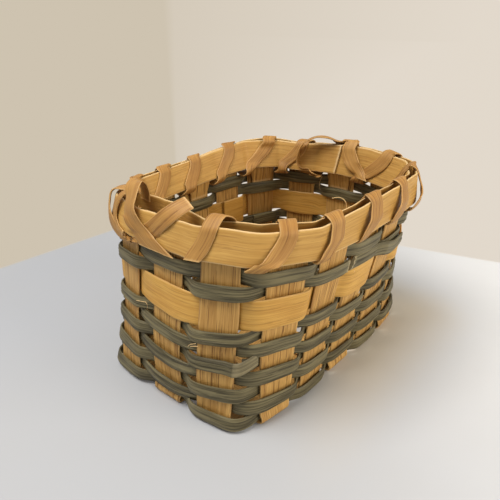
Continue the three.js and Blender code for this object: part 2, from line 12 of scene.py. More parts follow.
import bpy
import numpy as np
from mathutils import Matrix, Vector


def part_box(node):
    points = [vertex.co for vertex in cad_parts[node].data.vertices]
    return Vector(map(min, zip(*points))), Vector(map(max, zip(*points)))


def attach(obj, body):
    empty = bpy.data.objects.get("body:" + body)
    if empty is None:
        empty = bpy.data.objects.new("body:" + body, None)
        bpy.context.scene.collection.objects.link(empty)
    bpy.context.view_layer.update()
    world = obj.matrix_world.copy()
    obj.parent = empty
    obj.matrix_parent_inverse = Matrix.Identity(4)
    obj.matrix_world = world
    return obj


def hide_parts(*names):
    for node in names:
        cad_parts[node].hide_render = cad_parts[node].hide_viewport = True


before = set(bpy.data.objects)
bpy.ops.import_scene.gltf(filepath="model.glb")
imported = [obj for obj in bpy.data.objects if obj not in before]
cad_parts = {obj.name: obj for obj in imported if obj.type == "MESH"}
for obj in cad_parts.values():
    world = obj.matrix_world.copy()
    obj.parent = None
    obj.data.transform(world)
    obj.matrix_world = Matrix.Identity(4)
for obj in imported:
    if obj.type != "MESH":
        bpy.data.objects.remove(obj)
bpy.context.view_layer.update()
print("CAD nodes:", len(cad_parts))

# %% [markdown]
# ## Measures
# All lengths are in millimetres while the strips are worked out, because a weaver is easier to
# think of as 5.5 wide than as 0.0055. A mesh is scaled to metres at the moment it is made. The
# values are those of the CAD model, apart from one short cell and some of the lashing's, because
# plain solids need more air between them than fine strips do.

# %% Measures of the base and the wall
MM = 0.001                           # one millimetre in metres
LENGTHWISE_COUNT = 3
CROSSWISE_COUNT = 5
STAKES = 2 * (LENGTHWISE_COUNT + CROSSWISE_COUNT)
SPLINT_WIDTH = 16.0
SPLINT_THICK = 1.0
CROSSWISE_PITCH = 23.0               # between the crosswise splints, measured along X at the base
LENGTHWISE_PITCH = 25.5              # between the lengthwise splints, measured along Y at the base
PITCH_DRAW = 0.8                     # the stakes close up by this much per pitch at the rim
BASE_DROP = 3.5                      # length in which a base splint comes down past its last crossing
END_MARGIN = 11.2                    # from the last crosswise splint's edge to the short wall
SIDE_MARGIN = 8.8                    # from the last lengthwise splint's edge to the long wall
END_DRAW = 5.0                       # the short walls come in by this much at the rim
END_DRAW_POWER = 1.4
SIDE_FLARE = 8.0                     # the long walls go out by this much at the rim
BASE_SQUARENESS = 6.5                # exponent of the superellipse at the base, nearly a rectangle
RIM_SQUARENESS = 3.4                 # and at the rim, a rounded oval
SQUARENESS_FADE = 14.0               # height over which the corners round off
LEAN = 3.4                           # the rim stands this far towards -Y of the base
TILT_X = 0.024                       # rise of the rim per mm along X
TILT_Y = -0.018                      # rise of the rim per mm along Y
FOLD_RADIUS = 1.2                    # where a splint turns up into a stake
print(f"{STAKES} stakes, each {SPLINT_WIDTH} by {SPLINT_THICK} mm")

# %% Measures of the rows
WEAVER_WIDTH = 5.5
WEAVER_THICK = 1.4
WIDE_ROW_WIDTH = 12.6
ROWS_BELOW = 7                       # narrow rows under the wide one
ROW_BULGE = 0.35                     # how far a weaver bows away from the middle of a stake
FIRST_ROW_Z = 1.4
AIR = 0.35                           # clearance between touching layers
RISE_START = 30.0                    # above this height the rows ride up at the near corner
CORNER_RISE = 1.5                    # by this much
CORNER_RISE_REACH = 1.8              # in stakes
TOP_ROW_RISE = 3.2                   # the top row slopes up by this much to the near long wall
LASH_SLOT = 1.4                      # slot under the top row, where the lashing goes through
SPLICE_DROP = 2.1                    # the doubled end of the ninth row hangs this much lower
print(f"{ROWS_BELOW} rows {WEAVER_WIDTH} mm wide, then one {WIDE_ROW_WIDTH} mm wide")

# %% Measures of the rim
BAND_HEIGHT = 13.4                   # the inner band
OUTER_BAND_HEIGHT = 12.2
BAND_THICK = 0.9
BAND_LIFT = 1.9                      # the inner band starts this far above the top row's lower edge
CORNER_SLACK = 4.2                   # the inner band stands off at the near corner
CORNER_SLACK_REACH = 0.8             # in stakes
END_SLACK = 9.0                      # and more on the far part of the near short wall
END_SLACK_REACH = 0.95               # in stakes
END_SLACK_AT = 0.45                  # in stakes
SLACK_LOW = 0.5                      # share of the slack that the band's lower edge has
BAND_LAP = 1.3                       # how far a band's ends lap, in stakes
BAND_LAP_EASE = 0.6                  # and how far past the lap the upper layer comes down, in stakes
FLUSH_BELOW_RIM = 4.5                # a stake cut flush ends this far under the bands' upper edge
TIP_WIDTH = 11.0                     # width at the end of a folded stake tip
TIP_HOLD = 5.5                       # a tip hangs straight this far before it goes in to the stake
LASH_WIDTH = 7.0
print(f"rim bands {OUTER_BAND_HEIGHT} and {BAND_HEIGHT} mm high, lashing {LASH_WIDTH} mm wide")

# %% Measures finer or looser than in the CAD model
WIDE_ROW_THICK = 1.1
BAND_LEAN_OUTER = 2.4                # how far a band leans in from its lower edge to its upper
BAND_LEAN_INNER = 5.0
LASH_THICK = 0.7
print(f"wide row {WIDE_ROW_THICK} mm thick, lashing {LASH_THICK} mm thick")

# %% What follows from the measures
EDGE = 0.35                          # part of a stake step that lies on the stake itself
REACH = SPLINT_WIDTH / 2 + 0.5       # half of a stake with room for its edge
# From the middle of a stake to the middle of a row that crosses it, and from layer to layer
WEAVE = (SPLINT_THICK + WEAVER_THICK) / 2 + AIR
LAYER = WEAVER_THICK + AIR
# Half of the wall's length and width at the base
HALF_LENGTH = CROSSWISE_PITCH * (CROSSWISE_COUNT - 1) / 2 + SPLINT_WIDTH / 2 + END_MARGIN
HALF_WIDTH = LENGTHWISE_PITCH * (LENGTHWISE_COUNT - 1) / 2 + SPLINT_WIDTH / 2 + SIDE_MARGIN

# Heights, from the floor up: each row stands on the one under it, and the bands follow the rows
ROW_PITCH = WEAVER_WIDTH + AIR
WIDE_ROW_Z = FIRST_ROW_Z + ROWS_BELOW * ROW_PITCH
ROW_9_Z = WIDE_ROW_Z + WIDE_ROW_WIDTH + AIR
ROW_10_Z = ROW_9_Z + ROW_PITCH
ROW_10_END = ROW_10_Z + WEAVER_WIDTH
TOP_ROW_Z = ROW_10_END + LASH_SLOT
TOP_ROW_END = TOP_ROW_Z + WEAVER_WIDTH
INNER_BOTTOM = TOP_ROW_Z + BAND_LIFT
RIM_TOP = INNER_BOTTOM + BAND_HEIGHT
OUTER_BOTTOM = RIM_TOP - OUTER_BAND_HEIGHT
# Places round the wall, in stakes from the far end of the near short wall
NEAR_CORNER = LENGTHWISE_COUNT - 0.5
NEAR_SIDE = LENGTHWISE_COUNT + 0.5
print(f"rows from {FIRST_ROW_Z:.1f} to {TOP_ROW_END:.1f} mm, rim top at {RIM_TOP:.1f} mm")

# %% [markdown]
# ## The wall
# A woven wall is easiest to describe by walking round it. A place on it has three numbers: how far
# round it is, counted in stakes; how far in or out of the wall it lies; and how high it is. The
# wall's middle surface is a superellipse that is nearly a rectangle at the base and a rounded oval
# at the rim.

# %% Wall outline and stakes
middle_lengthwise = (LENGTHWISE_COUNT - 1) / 2
middle_crosswise = (CROSSWISE_COUNT - 1) / 2
lengthwise_slots = np.arange(LENGTHWISE_COUNT) - middle_lengthwise
crosswise_slots = np.arange(CROSSWISE_COUNT) - middle_crosswise
STAKE_SLOT = np.concatenate([-lengthwise_slots, crosswise_slots, lengthwise_slots, -crosswise_slots])
STAKE_ON_SHORT = np.repeat([True, False, True, False], [LENGTHWISE_COUNT, CROSSWISE_COUNT] * 2)
STAKE_SIGN = np.repeat([-1.0, -1.0, 1.0, 1.0], [LENGTHWISE_COUNT, CROSSWISE_COUNT] * 2)


def outline(z):
    """Half length a, half width b and exponent n of the superellipse (x/a)^n + (y/b)^n = 1 at z."""
    up = np.maximum(z, 0) / RIM_TOP
    a = HALF_LENGTH - END_DRAW * up ** END_DRAW_POWER
    b = HALF_WIDTH + SIDE_FLARE * up
    n = RIM_SQUARENESS + (BASE_SQUARENESS - RIM_SQUARENESS) * np.exp(-z / SQUARENESS_FADE)
    return a, b, n


def foot(k, z):
    """Middle of stake k at height z, the way along the wall and the way out of it.

    A stake keeps its place along its wall, and the superellipse gives the other coordinate.
    The way out is the superellipse's normal, (x/a)^(n-1)/a and (y/b)^(n-1)/b at unit length.
    """
    k = np.mod(k, STAKES).astype(int)
    a, b, n = outline(z)
    closing = PITCH_DRAW * np.maximum(z, 0) / RIM_TOP
    short, sign, slot = STAKE_ON_SHORT[k], STAKE_SIGN[k], STAKE_SLOT[k]
    y_short = slot * (LENGTHWISE_PITCH - closing)
    x_long = slot * (CROSSWISE_PITCH - closing)
    x_short = sign * a * (1 - np.abs(y_short / b) ** n * short) ** (1 / n)
    y_long = sign * b * (1 - np.abs(x_long / a) ** n * ~short) ** (1 / n)
    x = np.where(short, x_short, x_long)
    y = np.where(short, y_short, y_long)
    out_x = np.sign(x) * np.abs(x / a) ** (n - 1) / a
    out_y = np.sign(y) * np.abs(y / b) ** (n - 1) / b
    size = np.hypot(out_x, out_y)
    level = np.zeros_like(x)
    out = np.stack([out_x / size, out_y / size, level], -1)
    along = np.stack([-out[..., 1], out[..., 0], level], -1)
    return np.stack([x, y, z + level], -1), along, out


print("rim: half length, half width, exponent:", [round(float(v), 1) for v in outline(RIM_TOP)])

# %% A place on the wall
def place(around, offset, z):
    """Point at a place round the wall (in stakes), a distance out of it and a height.

    Straight across each stake, and between two stakes a cubic Hermite curve that leaves one and
    meets the next along the wall.
    """
    around, offset, z = np.broadcast_arrays(
        np.asarray(around, float), np.asarray(offset, float), np.asarray(z, float))
    k = np.floor(around)
    part = (around - k)[..., None]
    off = offset[..., None]
    middle_0, along_0, out_0 = foot(k, z)
    middle_1, along_1, out_1 = foot(k + 1, z)
    first = middle_0 + along_0 * REACH * part / EDGE + out_0 * off
    last = middle_1 - along_1 * REACH * (1 - part) / EDGE + out_1 * off
    t = np.clip((part - EDGE) / (1 - 2 * EDGE), 0, 1)
    start = middle_0 + along_0 * REACH + out_0 * off
    end = middle_1 - along_1 * REACH + out_1 * off
    pull = np.linalg.norm(end - start, axis=-1, keepdims=True)
    between = (start * (2 * t ** 3 - 3 * t ** 2 + 1) + end * (3 * t ** 2 - 2 * t ** 3)
               + along_0 * (t ** 3 - 2 * t ** 2 + t) * pull + along_1 * (t ** 3 - t ** 2) * pull)
    return np.where(part <= EDGE, first, np.where(part >= 1 - EDGE, last, between))


print("near corner of the rim at", place(np.array([NEAR_CORNER]), 0, RIM_TOP)[0].round(1), "mm")

# %% [markdown]
# ## Rows that are not level
# The rows over the wide one ride up at the near corner, and the top row slopes up to the near long
# wall. Both are smooth humps in the number of stakes round the basket.

# %% Rises
def bell(around, centre, reach):
    """1 at the centre and exp(-(away/reach)^2) away from it, both in stakes."""
    away = np.mod(around - centre + STAKES / 2, STAKES) - STAKES / 2
    return np.exp(-((away / reach) ** 2))


def row_rise(around, z):
    """Height that a row gains at the near corner, none below RISE_START."""
    share = np.clip((z - RISE_START) / (ROW_9_Z - RISE_START), 0, 1)
    return CORNER_RISE * share * bell(around, NEAR_CORNER, CORNER_RISE_REACH)


def top_rise(around, z=0.0):
    """Height that the top row gains at any z, a single cosine round the basket."""
    return TOP_ROW_RISE * (1 + np.cos(2 * np.pi * (around - NEAR_SIDE) / STAKES)) / 2


print(f"top row rises by {top_rise(NEAR_SIDE):.1f} mm at the near long wall")

# %% [markdown]
# ## The hand in the shape
# Nothing on a hand-woven basket is quite straight. The whole shape leans and its rim tilts, and
# one slow warp is added to every point. Neighbouring strips are warped together, so they wander
# without cutting into each other.

# %% Lean, tilt and warp
WARP_COUNT = 7
WARP_SIZE = 0.32
WARP_WAVELENGTHS = (38.0, 90.0)
warp_random = np.random.default_rng(11)
warp_turns = warp_random.normal(size=(3, WARP_COUNT))
warp_turns /= np.linalg.norm(warp_turns, axis=0)
warp_turns *= 2 * np.pi / warp_random.uniform(*WARP_WAVELENGTHS, WARP_COUNT)
warp_phase = warp_random.uniform(0, 2 * np.pi, WARP_COUNT)
warp_push = warp_random.normal(size=(WARP_COUNT, 3)) * WARP_SIZE

middle_splint_low, middle_splint_high = (np.array(v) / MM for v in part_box("crosswise_splint_3"))
long_splint_high = np.array(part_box("lengthwise_splint_2")[1]) / MM
CENTRE_X = (middle_splint_low[0] + middle_splint_high[0]) / 2
CENTRE_Y = long_splint_high[1] - SPLINT_WIDTH / 2 - LEAN


def settle(p):
    """Moves points of the ideal wall to where they are: lean, tilt, warp and the model's centre.

    The warp is a sum of sine waves in random directions, each pushing its own way, and it fades
    out towards the floor so that the base stays flat.
    """
    z = np.maximum(p[..., 2], 0)
    up = (z / RIM_TOP) ** 2
    grip = np.clip(z / 10, 0, 1)[..., None]
    warp = np.sin(p @ warp_turns + warp_phase) @ warp_push * grip
    x = p[..., 0] + CENTRE_X
    y = p[..., 1] + LEAN * (1 - up) + CENTRE_Y
    return np.stack([x, y, p[..., 2] + up * (TILT_X * p[..., 0] + TILT_Y * p[..., 1])], -1) + warp


print(f"base centre at {CENTRE_X:.2f}, {CENTRE_Y + LEAN:.2f} mm")

# %% [markdown]
# ## A strip
# A strip's section is a flat shape with rounded edges. Each point of it has a place across the
# strip, from -1 to 1, and a height through it, also from -1 to 1. Splitting wood leaves ridges
# that run the whole length, so every strip also has its own relief, which changes slowly along it.
# A bump in the material could draw the ridges, but not on the outline of a strip that is seen from
# its edge, so they are in the mesh.

# %% Helpers for strips
WANDER_SHARES = (1.0, 0.6, 0.35)
LASTING_RIDGES = 0.85                # share of the ridges that stays the same along a whole strip


def unit(v):
    """Vectors at length one."""
    return v / np.maximum(np.linalg.norm(v, axis=-1, keepdims=True), 1e-9)


def ease(t):
    """Smooth step from 0 to 1, 3t^2 - 2t^3."""
    t = np.clip(t, 0, 1)
    return t * t * (3 - 2 * t)


def wander(s, seed, wavelength, size):
    """A slow random line: the sum of three sine waves near the wavelength, of about that size."""
    rng = np.random.default_rng(seed)
    total = np.zeros_like(np.asarray(s, float))
    for share in WANDER_SHARES:
        total = total + share * np.sin(2 * np.pi * s / (wavelength * share * rng.uniform(0.8, 1.2))
                                       + rng.uniform(0, 2 * np.pi))
    return total * size / 1.2


def end_wear(s, reach):
    """How worn a strip is along its length: 1 at both cut ends, 0 further in than the reach."""
    return ease(1 - np.minimum(s, s[-1] - s) / reach)


def way_gone(around, offset, z):
    """Distance gone at each place of a line round the wall."""
    steps = np.linalg.norm(np.diff(place(around, offset, z), axis=0), axis=1)
    return np.concatenate([[0], np.cumsum(steps)])


print("smooth step at a quarter and at three quarters:", ease(0.25), ease(0.75))

# %% A strip's section and its ridges
def section(count, squareness):
    """Points round a flat section: across = -cos, through = (1 - |across|^n)^(1/2), both faces."""
    half = -np.cos(np.linspace(0, np.pi, count + 1))
    across = np.concatenate([half[:-1], -half[:-1]])
    through = (1 - np.abs(across) ** squareness).clip(0) ** 0.5
    through[count:] *= -1
    return across, through


def relief(s, across, seed, knot_step=14.0, size=0.1):
    """Ridges along a strip: random heights across it, new ones every few millimetres, blended."""
    rng = np.random.default_rng(seed)
    knots = int(np.ptp(s) / knot_step) + 3
    heights = rng.normal(size=(knots, len(across)))
    heights = (heights + LASTING_RIDGES * heights[:1]) * size
    where = (s - s.min()) / knot_step
    first = where.astype(int)
    t = ease(where - first)[:, None]
    return heights[first] * (1 - t) + heights[first + 1] * t


print("points round a section with 18 steps to a face:", len(section(18, 22)[0]))

# %% A strip's faces
def strip_faces(rings, round_count):
    """Quads between rings of points, then two fans that close the ends on two last points."""
    i = np.arange(rings - 1)[:, None] * round_count
    j = np.arange(round_count)[None]
    j_next = (j + 1) % round_count
    quads = np.stack([i + j, i + j_next, i + round_count + j_next, i + round_count + j], -1)
    last = (rings - 1) * round_count
    centre = rings * round_count
    j, j_next = j[0], j_next[0]
    start = np.stack([0 * j + centre, j_next, j], -1)
    end = np.stack([0 * j + centre + 1, last + j, last + j_next], -1)
    return quads.reshape(-1, 4), np.concatenate([start, end])


print("faces of two rings of four points:", [len(faces) for faces in strip_faces(2, 4)])

# %% Make a strip's mesh
SHARP_ANGLE = math.radians(50)
BACK_SHIFT = 3.1                     # moves the back of a strip to another part of the grain


def make_strip(name, points, s, across, width, finish, node=None, worn=None):
    """One closed strip from rings of points (rings x round x 3, in mm).

    Its map called grain holds the distance along and across the strip in centimetres, shifted by a
    seed from its name so that no two strips show the same grain. The worn attribute is 1 where the
    strip is cut or bare, edge is 1 at its two long edges, and tone is one number for the strip.
    """
    rings, round_count = points.shape[:2]
    middle = points.mean(1)
    vertices = np.concatenate([points.reshape(-1, 3), middle[:1], middle[-1:]]) * MM
    quads, fans = strip_faces(rings, round_count)
    corner = vertices[quads]
    outward = np.cross(corner[:, 2] - corner[:, 0], corner[:, 3] - corner[:, 1])
    if (outward * (corner.mean(1) - middle.repeat(round_count, 0)[: len(quads)] * MM)).sum() < 0:
        quads = quads[:, ::-1]
        fans = fans[:, ::-1]
    mesh = bpy.data.meshes.new(name)
    mesh.vertices.add(len(vertices))
    mesh.vertices.foreach_set("co", vertices.astype(np.float32).ravel())
    sizes = np.concatenate([np.full(len(quads), 4), np.full(len(fans), 3)])
    corners = np.concatenate([quads.ravel(), fans.ravel()])
    mesh.loops.add(len(corners))
    mesh.loops.foreach_set("vertex_index", corners.astype(np.int32))
    mesh.polygons.add(len(sizes))
    starts = np.concatenate([[0], np.cumsum(sizes)[:-1]])
    mesh.polygons.foreach_set("loop_start", starts.astype(np.int32))
    mesh.polygons.foreach_set("use_smooth", np.ones(len(sizes), bool))
    mesh.update(calc_edges=True)

    seed = sum(map(ord, name))
    back = np.arange(round_count) >= round_count // 2
    along = np.concatenate([np.repeat(s, round_count), s[:1], s[-1:]]) / 10 + seed % 37
    side = np.where(back, BACK_SHIFT - across, across)[None] * np.asarray(width)[:, None] / 20
    side = np.concatenate([side.ravel(), [0.0, 0.0]]) + (seed % 23) * 1.7
    grain = mesh.uv_layers.new(name="grain")
    grain.data.foreach_set("uv", np.stack([along[corners], side[corners]], -1).astype(np.float32).ravel())
    edge = np.concatenate([np.tile(np.abs(across), rings), [0.0, 0.0]])
    bare = np.zeros(rings) if worn is None else worn
    bare = np.concatenate([np.repeat(bare, round_count), bare[:1], bare[-1:]])
    for label, values in (("edge", edge), ("worn", bare), ("tone", np.full(len(edge), seed * 0.618 % 1))):
        attribute = mesh.attributes.new(label, "FLOAT", "POINT")
        attribute.data.foreach_set("value", values.astype(np.float32))
    mesh.set_sharp_from_angle(angle=SHARP_ANGLE)
    mesh.validate()
    piece = bpy.data.objects.new(name, mesh)
    bpy.context.scene.collection.objects.link(piece)
    mesh.materials.append(finish)
    if node:
        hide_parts(node)
    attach(piece, "root")
    return piece


print("edges are sharp over", round(math.degrees(SHARP_ANGLE)), "degrees")

# %% Carry a section along a line
def sweep(centre, face, width, thick, across, through, ridges=0.0, cup=0.0, side=None):
    """Section points carried along a line.

    A point is centre + side * across * width/2 + face * through * thick/2. The face is square to
    the line, and so is the side unless another one is given, as at a slanting fold. Cup pushes the
    long edges towards the back, as a strip bent over something does.
    """
    onward = unit(np.gradient(centre, axis=0))
    if side is None:
        face = unit(face - (face * onward).sum(-1, keepdims=True) * onward)
        side = np.cross(onward, face)
    else:
        face = unit(np.cross(side, onward))
    width = np.broadcast_to(width, len(centre))[:, None, None]
    thick = np.broadcast_to(thick, len(centre))[:, None, None]
    rise = through[None, :, None] * thick / 2 * (1 + np.asarray(ridges).reshape(
        (len(centre), -1, 1) if np.ndim(ridges) else (1, 1, 1)))
    rise = rise - cup * across[None, :, None] ** 2
    return centre[:, None] + side[:, None] * across[None, :, None] * width / 2 + face[:, None] * rise


# %% A smooth line through stations
def smooth_line(stations, step):
    """Evenly spaced points on a cubic through the stations, with the way from neighbour to
    neighbour as the slope at each. The first three numbers of a station are its place."""
    stations = np.asarray(stations, float)
    gaps = np.linalg.norm(np.diff(stations[:, :3], axis=0), axis=1)
    at = np.concatenate([[0], np.cumsum(gaps)])
    slopes = np.gradient(stations, at, axis=0, edge_order=1)
    s = np.linspace(0, at[-1], int(at[-1] / step) + 2)
    i = np.clip(np.searchsorted(at, s, side="right") - 1, 0, len(at) - 2)
    h = (at[i + 1] - at[i])[:, None]
    t = (s[:, None] - at[i][:, None]) / h
    line = (stations[i] * (2 * t ** 3 - 3 * t ** 2 + 1) + stations[i + 1] * (3 * t ** 2 - 2 * t ** 3)
            + slopes[i] * h * (t ** 3 - 2 * t ** 2 + t) + slopes[i + 1] * h * (t ** 3 - t ** 2))
    return s, line


bent_line = smooth_line([[0, 0, 0], [5, 1, 0], [10, 0, 0]], 1.0)[1]
print("points on a short bent line in steps of 1 mm:", len(bent_line))

# %% [markdown]
# ## Wood
# All strips are the same kind of thing, split or cut wood, so their finishes share one recipe: a
# ground colour, slow blotches, fine fibres along the strip, darker streaks, and a paler edge, which
# is partly bare wood and partly painted highlight. The recipe reads the strip's own map, so the
# grain turns with every bend. Node maths is written as Python arithmetic on a small class that
# wraps a socket.

# %% Sockets as values
class Value:
    """An output socket of a node tree, on which + - and * add Math nodes."""

    def __init__(self, tree, socket):
        self.tree = tree
        self.socket = socket

    def math(self, operation, first, second):
        """A Math node on two terms, each a value or a number."""
        node = self.tree.nodes.new("ShaderNodeMath")
        node.operation = operation
        for slot, term in zip(node.inputs, (first, second)):
            if isinstance(term, Value):
                self.tree.links.new(term.socket, slot)
            else:
                slot.default_value = term
        return Value(self.tree, node.outputs[0])

    def __add__(self, other):
        return self.math("ADD", self, other)

    def __radd__(self, other):
        return self.math("ADD", other, self)

    def __sub__(self, other):
        return self.math("SUBTRACT", self, other)

    def __rsub__(self, other):
        return self.math("SUBTRACT", other, self)

    def __mul__(self, other):
        return self.math("MULTIPLY", self, other)

    def __rmul__(self, other):
        return self.math("MULTIPLY", other, self)

    def maximum(self, other):
        return self.math("MAXIMUM", self, other)

    def clamp(self):
        return self.math("MINIMUM", self.maximum(0.0), 1.0)


# %% Tools that make nodes
class Tools:
    """Makes the nodes of one tree, a material's or the world's."""

    def __init__(self, tree):
        self.tree = tree

    def node(self, kind, settings=None, inputs=None, output=0):
        """Any node: its settings first, a ramp's stops among them, then its sockets."""
        node = self.tree.nodes.new(kind)
        for key, setting in (settings or {}).items():
            if key == "stops":
                ramp = node.color_ramp.elements
                while len(ramp) < len(setting):
                    ramp.new(0.5)
                for stop, (at, colour) in zip(ramp, setting):
                    stop.position = at
                    stop.color = (*colour, 1.0)
            else:
                setattr(node, key, setting)
        for key, term in (inputs or {}).items():
            self.feed(node.inputs[key], term)
        return Value(self.tree, node.outputs[output])

    def feed(self, slot, term):
        """Links a value to a socket, or sets the socket to a number, a vector or a colour."""
        if isinstance(term, Value):
            self.tree.links.new(term.socket, slot)
        elif isinstance(term, tuple) and len(term) == 3 and slot.type == "RGBA":
            slot.default_value = (*term, 1.0)
        else:
            slot.default_value = term

    def mix(self, factor, first, second):
        """Colours mixed by a factor."""
        return self.node("ShaderNodeMix", {"data_type": "RGBA"}, {0: factor, 6: first, 7: second}, output=2)

    def vector(self, operation, *terms):
        """Vector Math, whose dot product and length are numbers in the second output."""
        output = 1 if operation in ("DOT_PRODUCT", "LENGTH") else 0
        return self.node("ShaderNodeVectorMath", {"operation": operation}, dict(enumerate(terms)), output)

    def step(self, value, low, high):
        """0 below low, 1 above high, smooth between."""
        return self.node("ShaderNodeMapRange", {"interpolation_type": "SMOOTHSTEP"},
                         {"Value": value, "From Min": low, "From Max": high})

    def choose(self, factor, first, second, end):
        """Sends one shader to the end node's surface, or the second one where the factor is 1."""
        mixed = self.tree.nodes.new("ShaderNodeMixShader")
        for slot, term in zip(mixed.inputs, (factor, first, second)):
            self.feed(slot, term)
        self.tree.links.new(mixed.outputs[0], self.tree.nodes[end].inputs["Surface"])


# %% A finish under construction
class Finish(Tools):
    """One material under construction, with the patterns that a strip's own map carries."""

    def __init__(self, name):
        self.material = bpy.data.materials.new(name)
        self.material.use_nodes = True
        super().__init__(self.material.node_tree)
        self.shader = self.tree.nodes["Principled BSDF"]

    def attribute(self, name):
        return self.node("ShaderNodeAttribute", {"attribute_name": name}, output=2)

    def grain_place(self, along, across, shift=0.0):
        """The strip's own map, stretched: along and across are turns of the pattern per cm."""
        uv = self.node("ShaderNodeUVMap", {"uv_map": "grain"})
        return self.node("ShaderNodeMapping", None,
                         {"Vector": uv, "Location": (shift, shift, 0.0), "Scale": (along, across, 1.0)})

    def noise(self, place_on_strip, detail=2.0, roughness=0.55):
        return self.node("ShaderNodeTexNoise", {"noise_dimensions": "2D"},
                         {"Vector": place_on_strip, "Scale": 1.0, "Detail": detail, "Roughness": roughness})


# %% The recipe for wood
def wood(name, ground, pale, dark, streak, bare, contrast, lines, line_width, flecks, edge_bare_and_highlight, rough,
         bump, fibres):
    """A wood finish. Colours are linear, amounts are from 0 to 1, fibres is how many lie in 1 cm.

    The ground goes from dark to pale with slow blotches, fibres and finer threads. Dark pores lie
    in thin lines on top, where a fine noise across the strip passes a threshold. Worn places show
    the bare wood, and long edges are paler: partly bare wood and partly painted highlight.
    """
    f = Finish(name)
    edge = f.attribute("edge")
    worn = f.attribute("worn")
    tone = f.attribute("tone")
    blotch = f.noise(f.grain_place(0.35, 0.8), detail=3.0)
    fibre = f.noise(f.grain_place(0.22, fibres, 3.0), detail=3.0, roughness=0.6)
    thread = f.noise(f.grain_place(0.5, fibres * 2.6, 9.0), detail=3.0, roughness=0.65)
    pore = f.noise(f.grain_place(0.3, fibres * 1.5, 17.0), detail=2.0)
    broken = f.noise(f.grain_place(1.1, fibres * 0.6, 23.0), detail=2.0)
    fleck = f.noise(f.grain_place(1.6, fibres * 3.0, 29.0), detail=1.0)

    lightness = ((blotch - 0.5) * 0.8 + (fibre - 0.5) * contrast + (thread - 0.5) * contrast * 0.8
                 + (tone - 0.5) * 0.25)
    colour = f.mix((lightness + 0.5).clamp(), dark, pale)
    colour = f.mix(0.3, colour, ground)
    pores = f.step(pore, 0.66 - line_width, 0.70 - line_width * 0.5) * f.step(broken, 0.34, 0.5)
    colour = f.mix(pores * lines, colour, streak)
    colour = f.mix(f.step(fleck, 0.68, 0.78) * flecks, colour, streak)
    # Long edges are mixed towards the bare colour: bare wood at the cut, with a painted highlight where the
    # edge catches the light
    colour = f.mix(f.step(edge, 0.90, 0.99) * edge_bare_and_highlight, colour, bare)
    bare_here = (worn * 1.4 - 0.25 + (fibre - 0.5) * 0.9).clamp()
    colour = f.mix(bare_here * 0.8, colour, bare)

    f.feed(f.shader.inputs["Base Color"], colour)
    f.feed(f.shader.inputs["Roughness"], (rough + (fibre - 0.5) * 0.25 + pores * 0.1).clamp())
    f.shader.inputs["Specular IOR Level"].default_value = 0.35
    height = fibre * 0.6 + thread * 0.5 - pores * 0.3
    f.feed(f.shader.inputs["Normal"],
           f.node("ShaderNodeBump", None, {"Height": height, "Strength": bump, "Distance": 0.3 * MM}))
    return f.material


# %% Five finishes
natural = wood(
    "natural_splint_wood",
    ground=(0.51, 0.285, 0.078), pale=(0.68, 0.42, 0.135), dark=(0.36, 0.175, 0.038),
    streak=(0.17, 0.072, 0.018), bare=(0.72, 0.50, 0.24),
    contrast=2.0, lines=0.75, line_width=0.1, flecks=0.15, edge_bare_and_highlight=0.15, rough=0.6, bump=0.5, fibres=9.0)
wide = wood(
    "wide_weaver_wood",
    ground=(0.60, 0.325, 0.066), pale=(0.72, 0.44, 0.11), dark=(0.46, 0.22, 0.037),
    streak=(0.22, 0.095, 0.02), bare=(0.72, 0.50, 0.24),
    contrast=1.5, lines=0.3, line_width=0.06, flecks=0.2, edge_bare_and_highlight=0.3, rough=0.52, bump=0.35, fibres=9.0)
# The bands' and the lashing's strong pale edges are mostly painted highlight
band_wood = wood(
    "rim_band_wood",
    ground=(0.495, 0.27, 0.062), pale=(0.62, 0.38, 0.108), dark=(0.38, 0.185, 0.036),
    streak=(0.22, 0.095, 0.022), bare=(0.80, 0.60, 0.32),
    contrast=1.5, lines=0.3, line_width=0.06, flecks=0.25, edge_bare_and_highlight=0.6, rough=0.52, bump=0.35, fibres=8.0)
lash_wood = wood(
    "lashing_wood",
    ground=(0.40, 0.205, 0.05), pale=(0.53, 0.30, 0.085), dark=(0.29, 0.13, 0.03),
    streak=(0.17, 0.07, 0.018), bare=(0.66, 0.43, 0.18),
    contrast=1.5, lines=0.6, line_width=0.07, flecks=0.15, edge_bare_and_highlight=0.45, rough=0.5, bump=0.35, fibres=9.0)
dyed = wood(
    "dyed_weaver_wood",
    ground=(0.098, 0.081, 0.037), pale=(0.235, 0.20, 0.104), dark=(0.036, 0.029, 0.013),
    streak=(0.025, 0.02, 0.011), bare=(0.42, 0.35, 0.20),
    contrast=2.6, lines=0.5, line_width=0.08, flecks=0.2, edge_bare_and_highlight=0.0, rough=0.55, bump=0.6, fibres=8.0)
print("finishes:", [m.name for m in bpy.data.materials if m.name.endswith("_wood")])

# %% [markdown]
# ## Splints
# A base splint is soaked, laid flat in the base weave and turned up at both ends. Its line runs
# down one wall, across the base over and under the splints that it meets, and up the other wall.
# Where the lowest row passes inside a stake, nothing holds the fold, and it stands out a little.
# Every second stake is folded in over the top row and tucked down behind; the others are cut flush
# between the rim bands. A thickened plane would do for one straight stake. A section carried along
# a line of stations keeps its width and its grain through every fold, so that is the way here.

# %% A stake's stations
TIP_OFFSET = -(WEAVE + WEAVER_THICK / 2 + AIR + SPLINT_THICK / 2)
SPLINT_STEP = 0.9
STAKE_SWAY = 0.2                     # how far a stake is pulled in and out by the rows
SWAY_FADE = 6.0                      # height over which the sway starts
FOLD_BULGE = 0.9                     # how far a fold that no row holds stands out
FOLD_SWELL = 1.3                     # and more half way round the bend
FOLD_NARROW = 0.8                    # how much narrower the strip is over that fold
FOLD_END = 0.5                       # height over which the bulge stays
TOP_ROOM = 1.5                       # no station lies this near under a stake's top
TIP_TAPER = 0.4                      # share of its taper that a tip has where it stops hanging straight
UP = np.array([0.0, 0.0, 1.0])


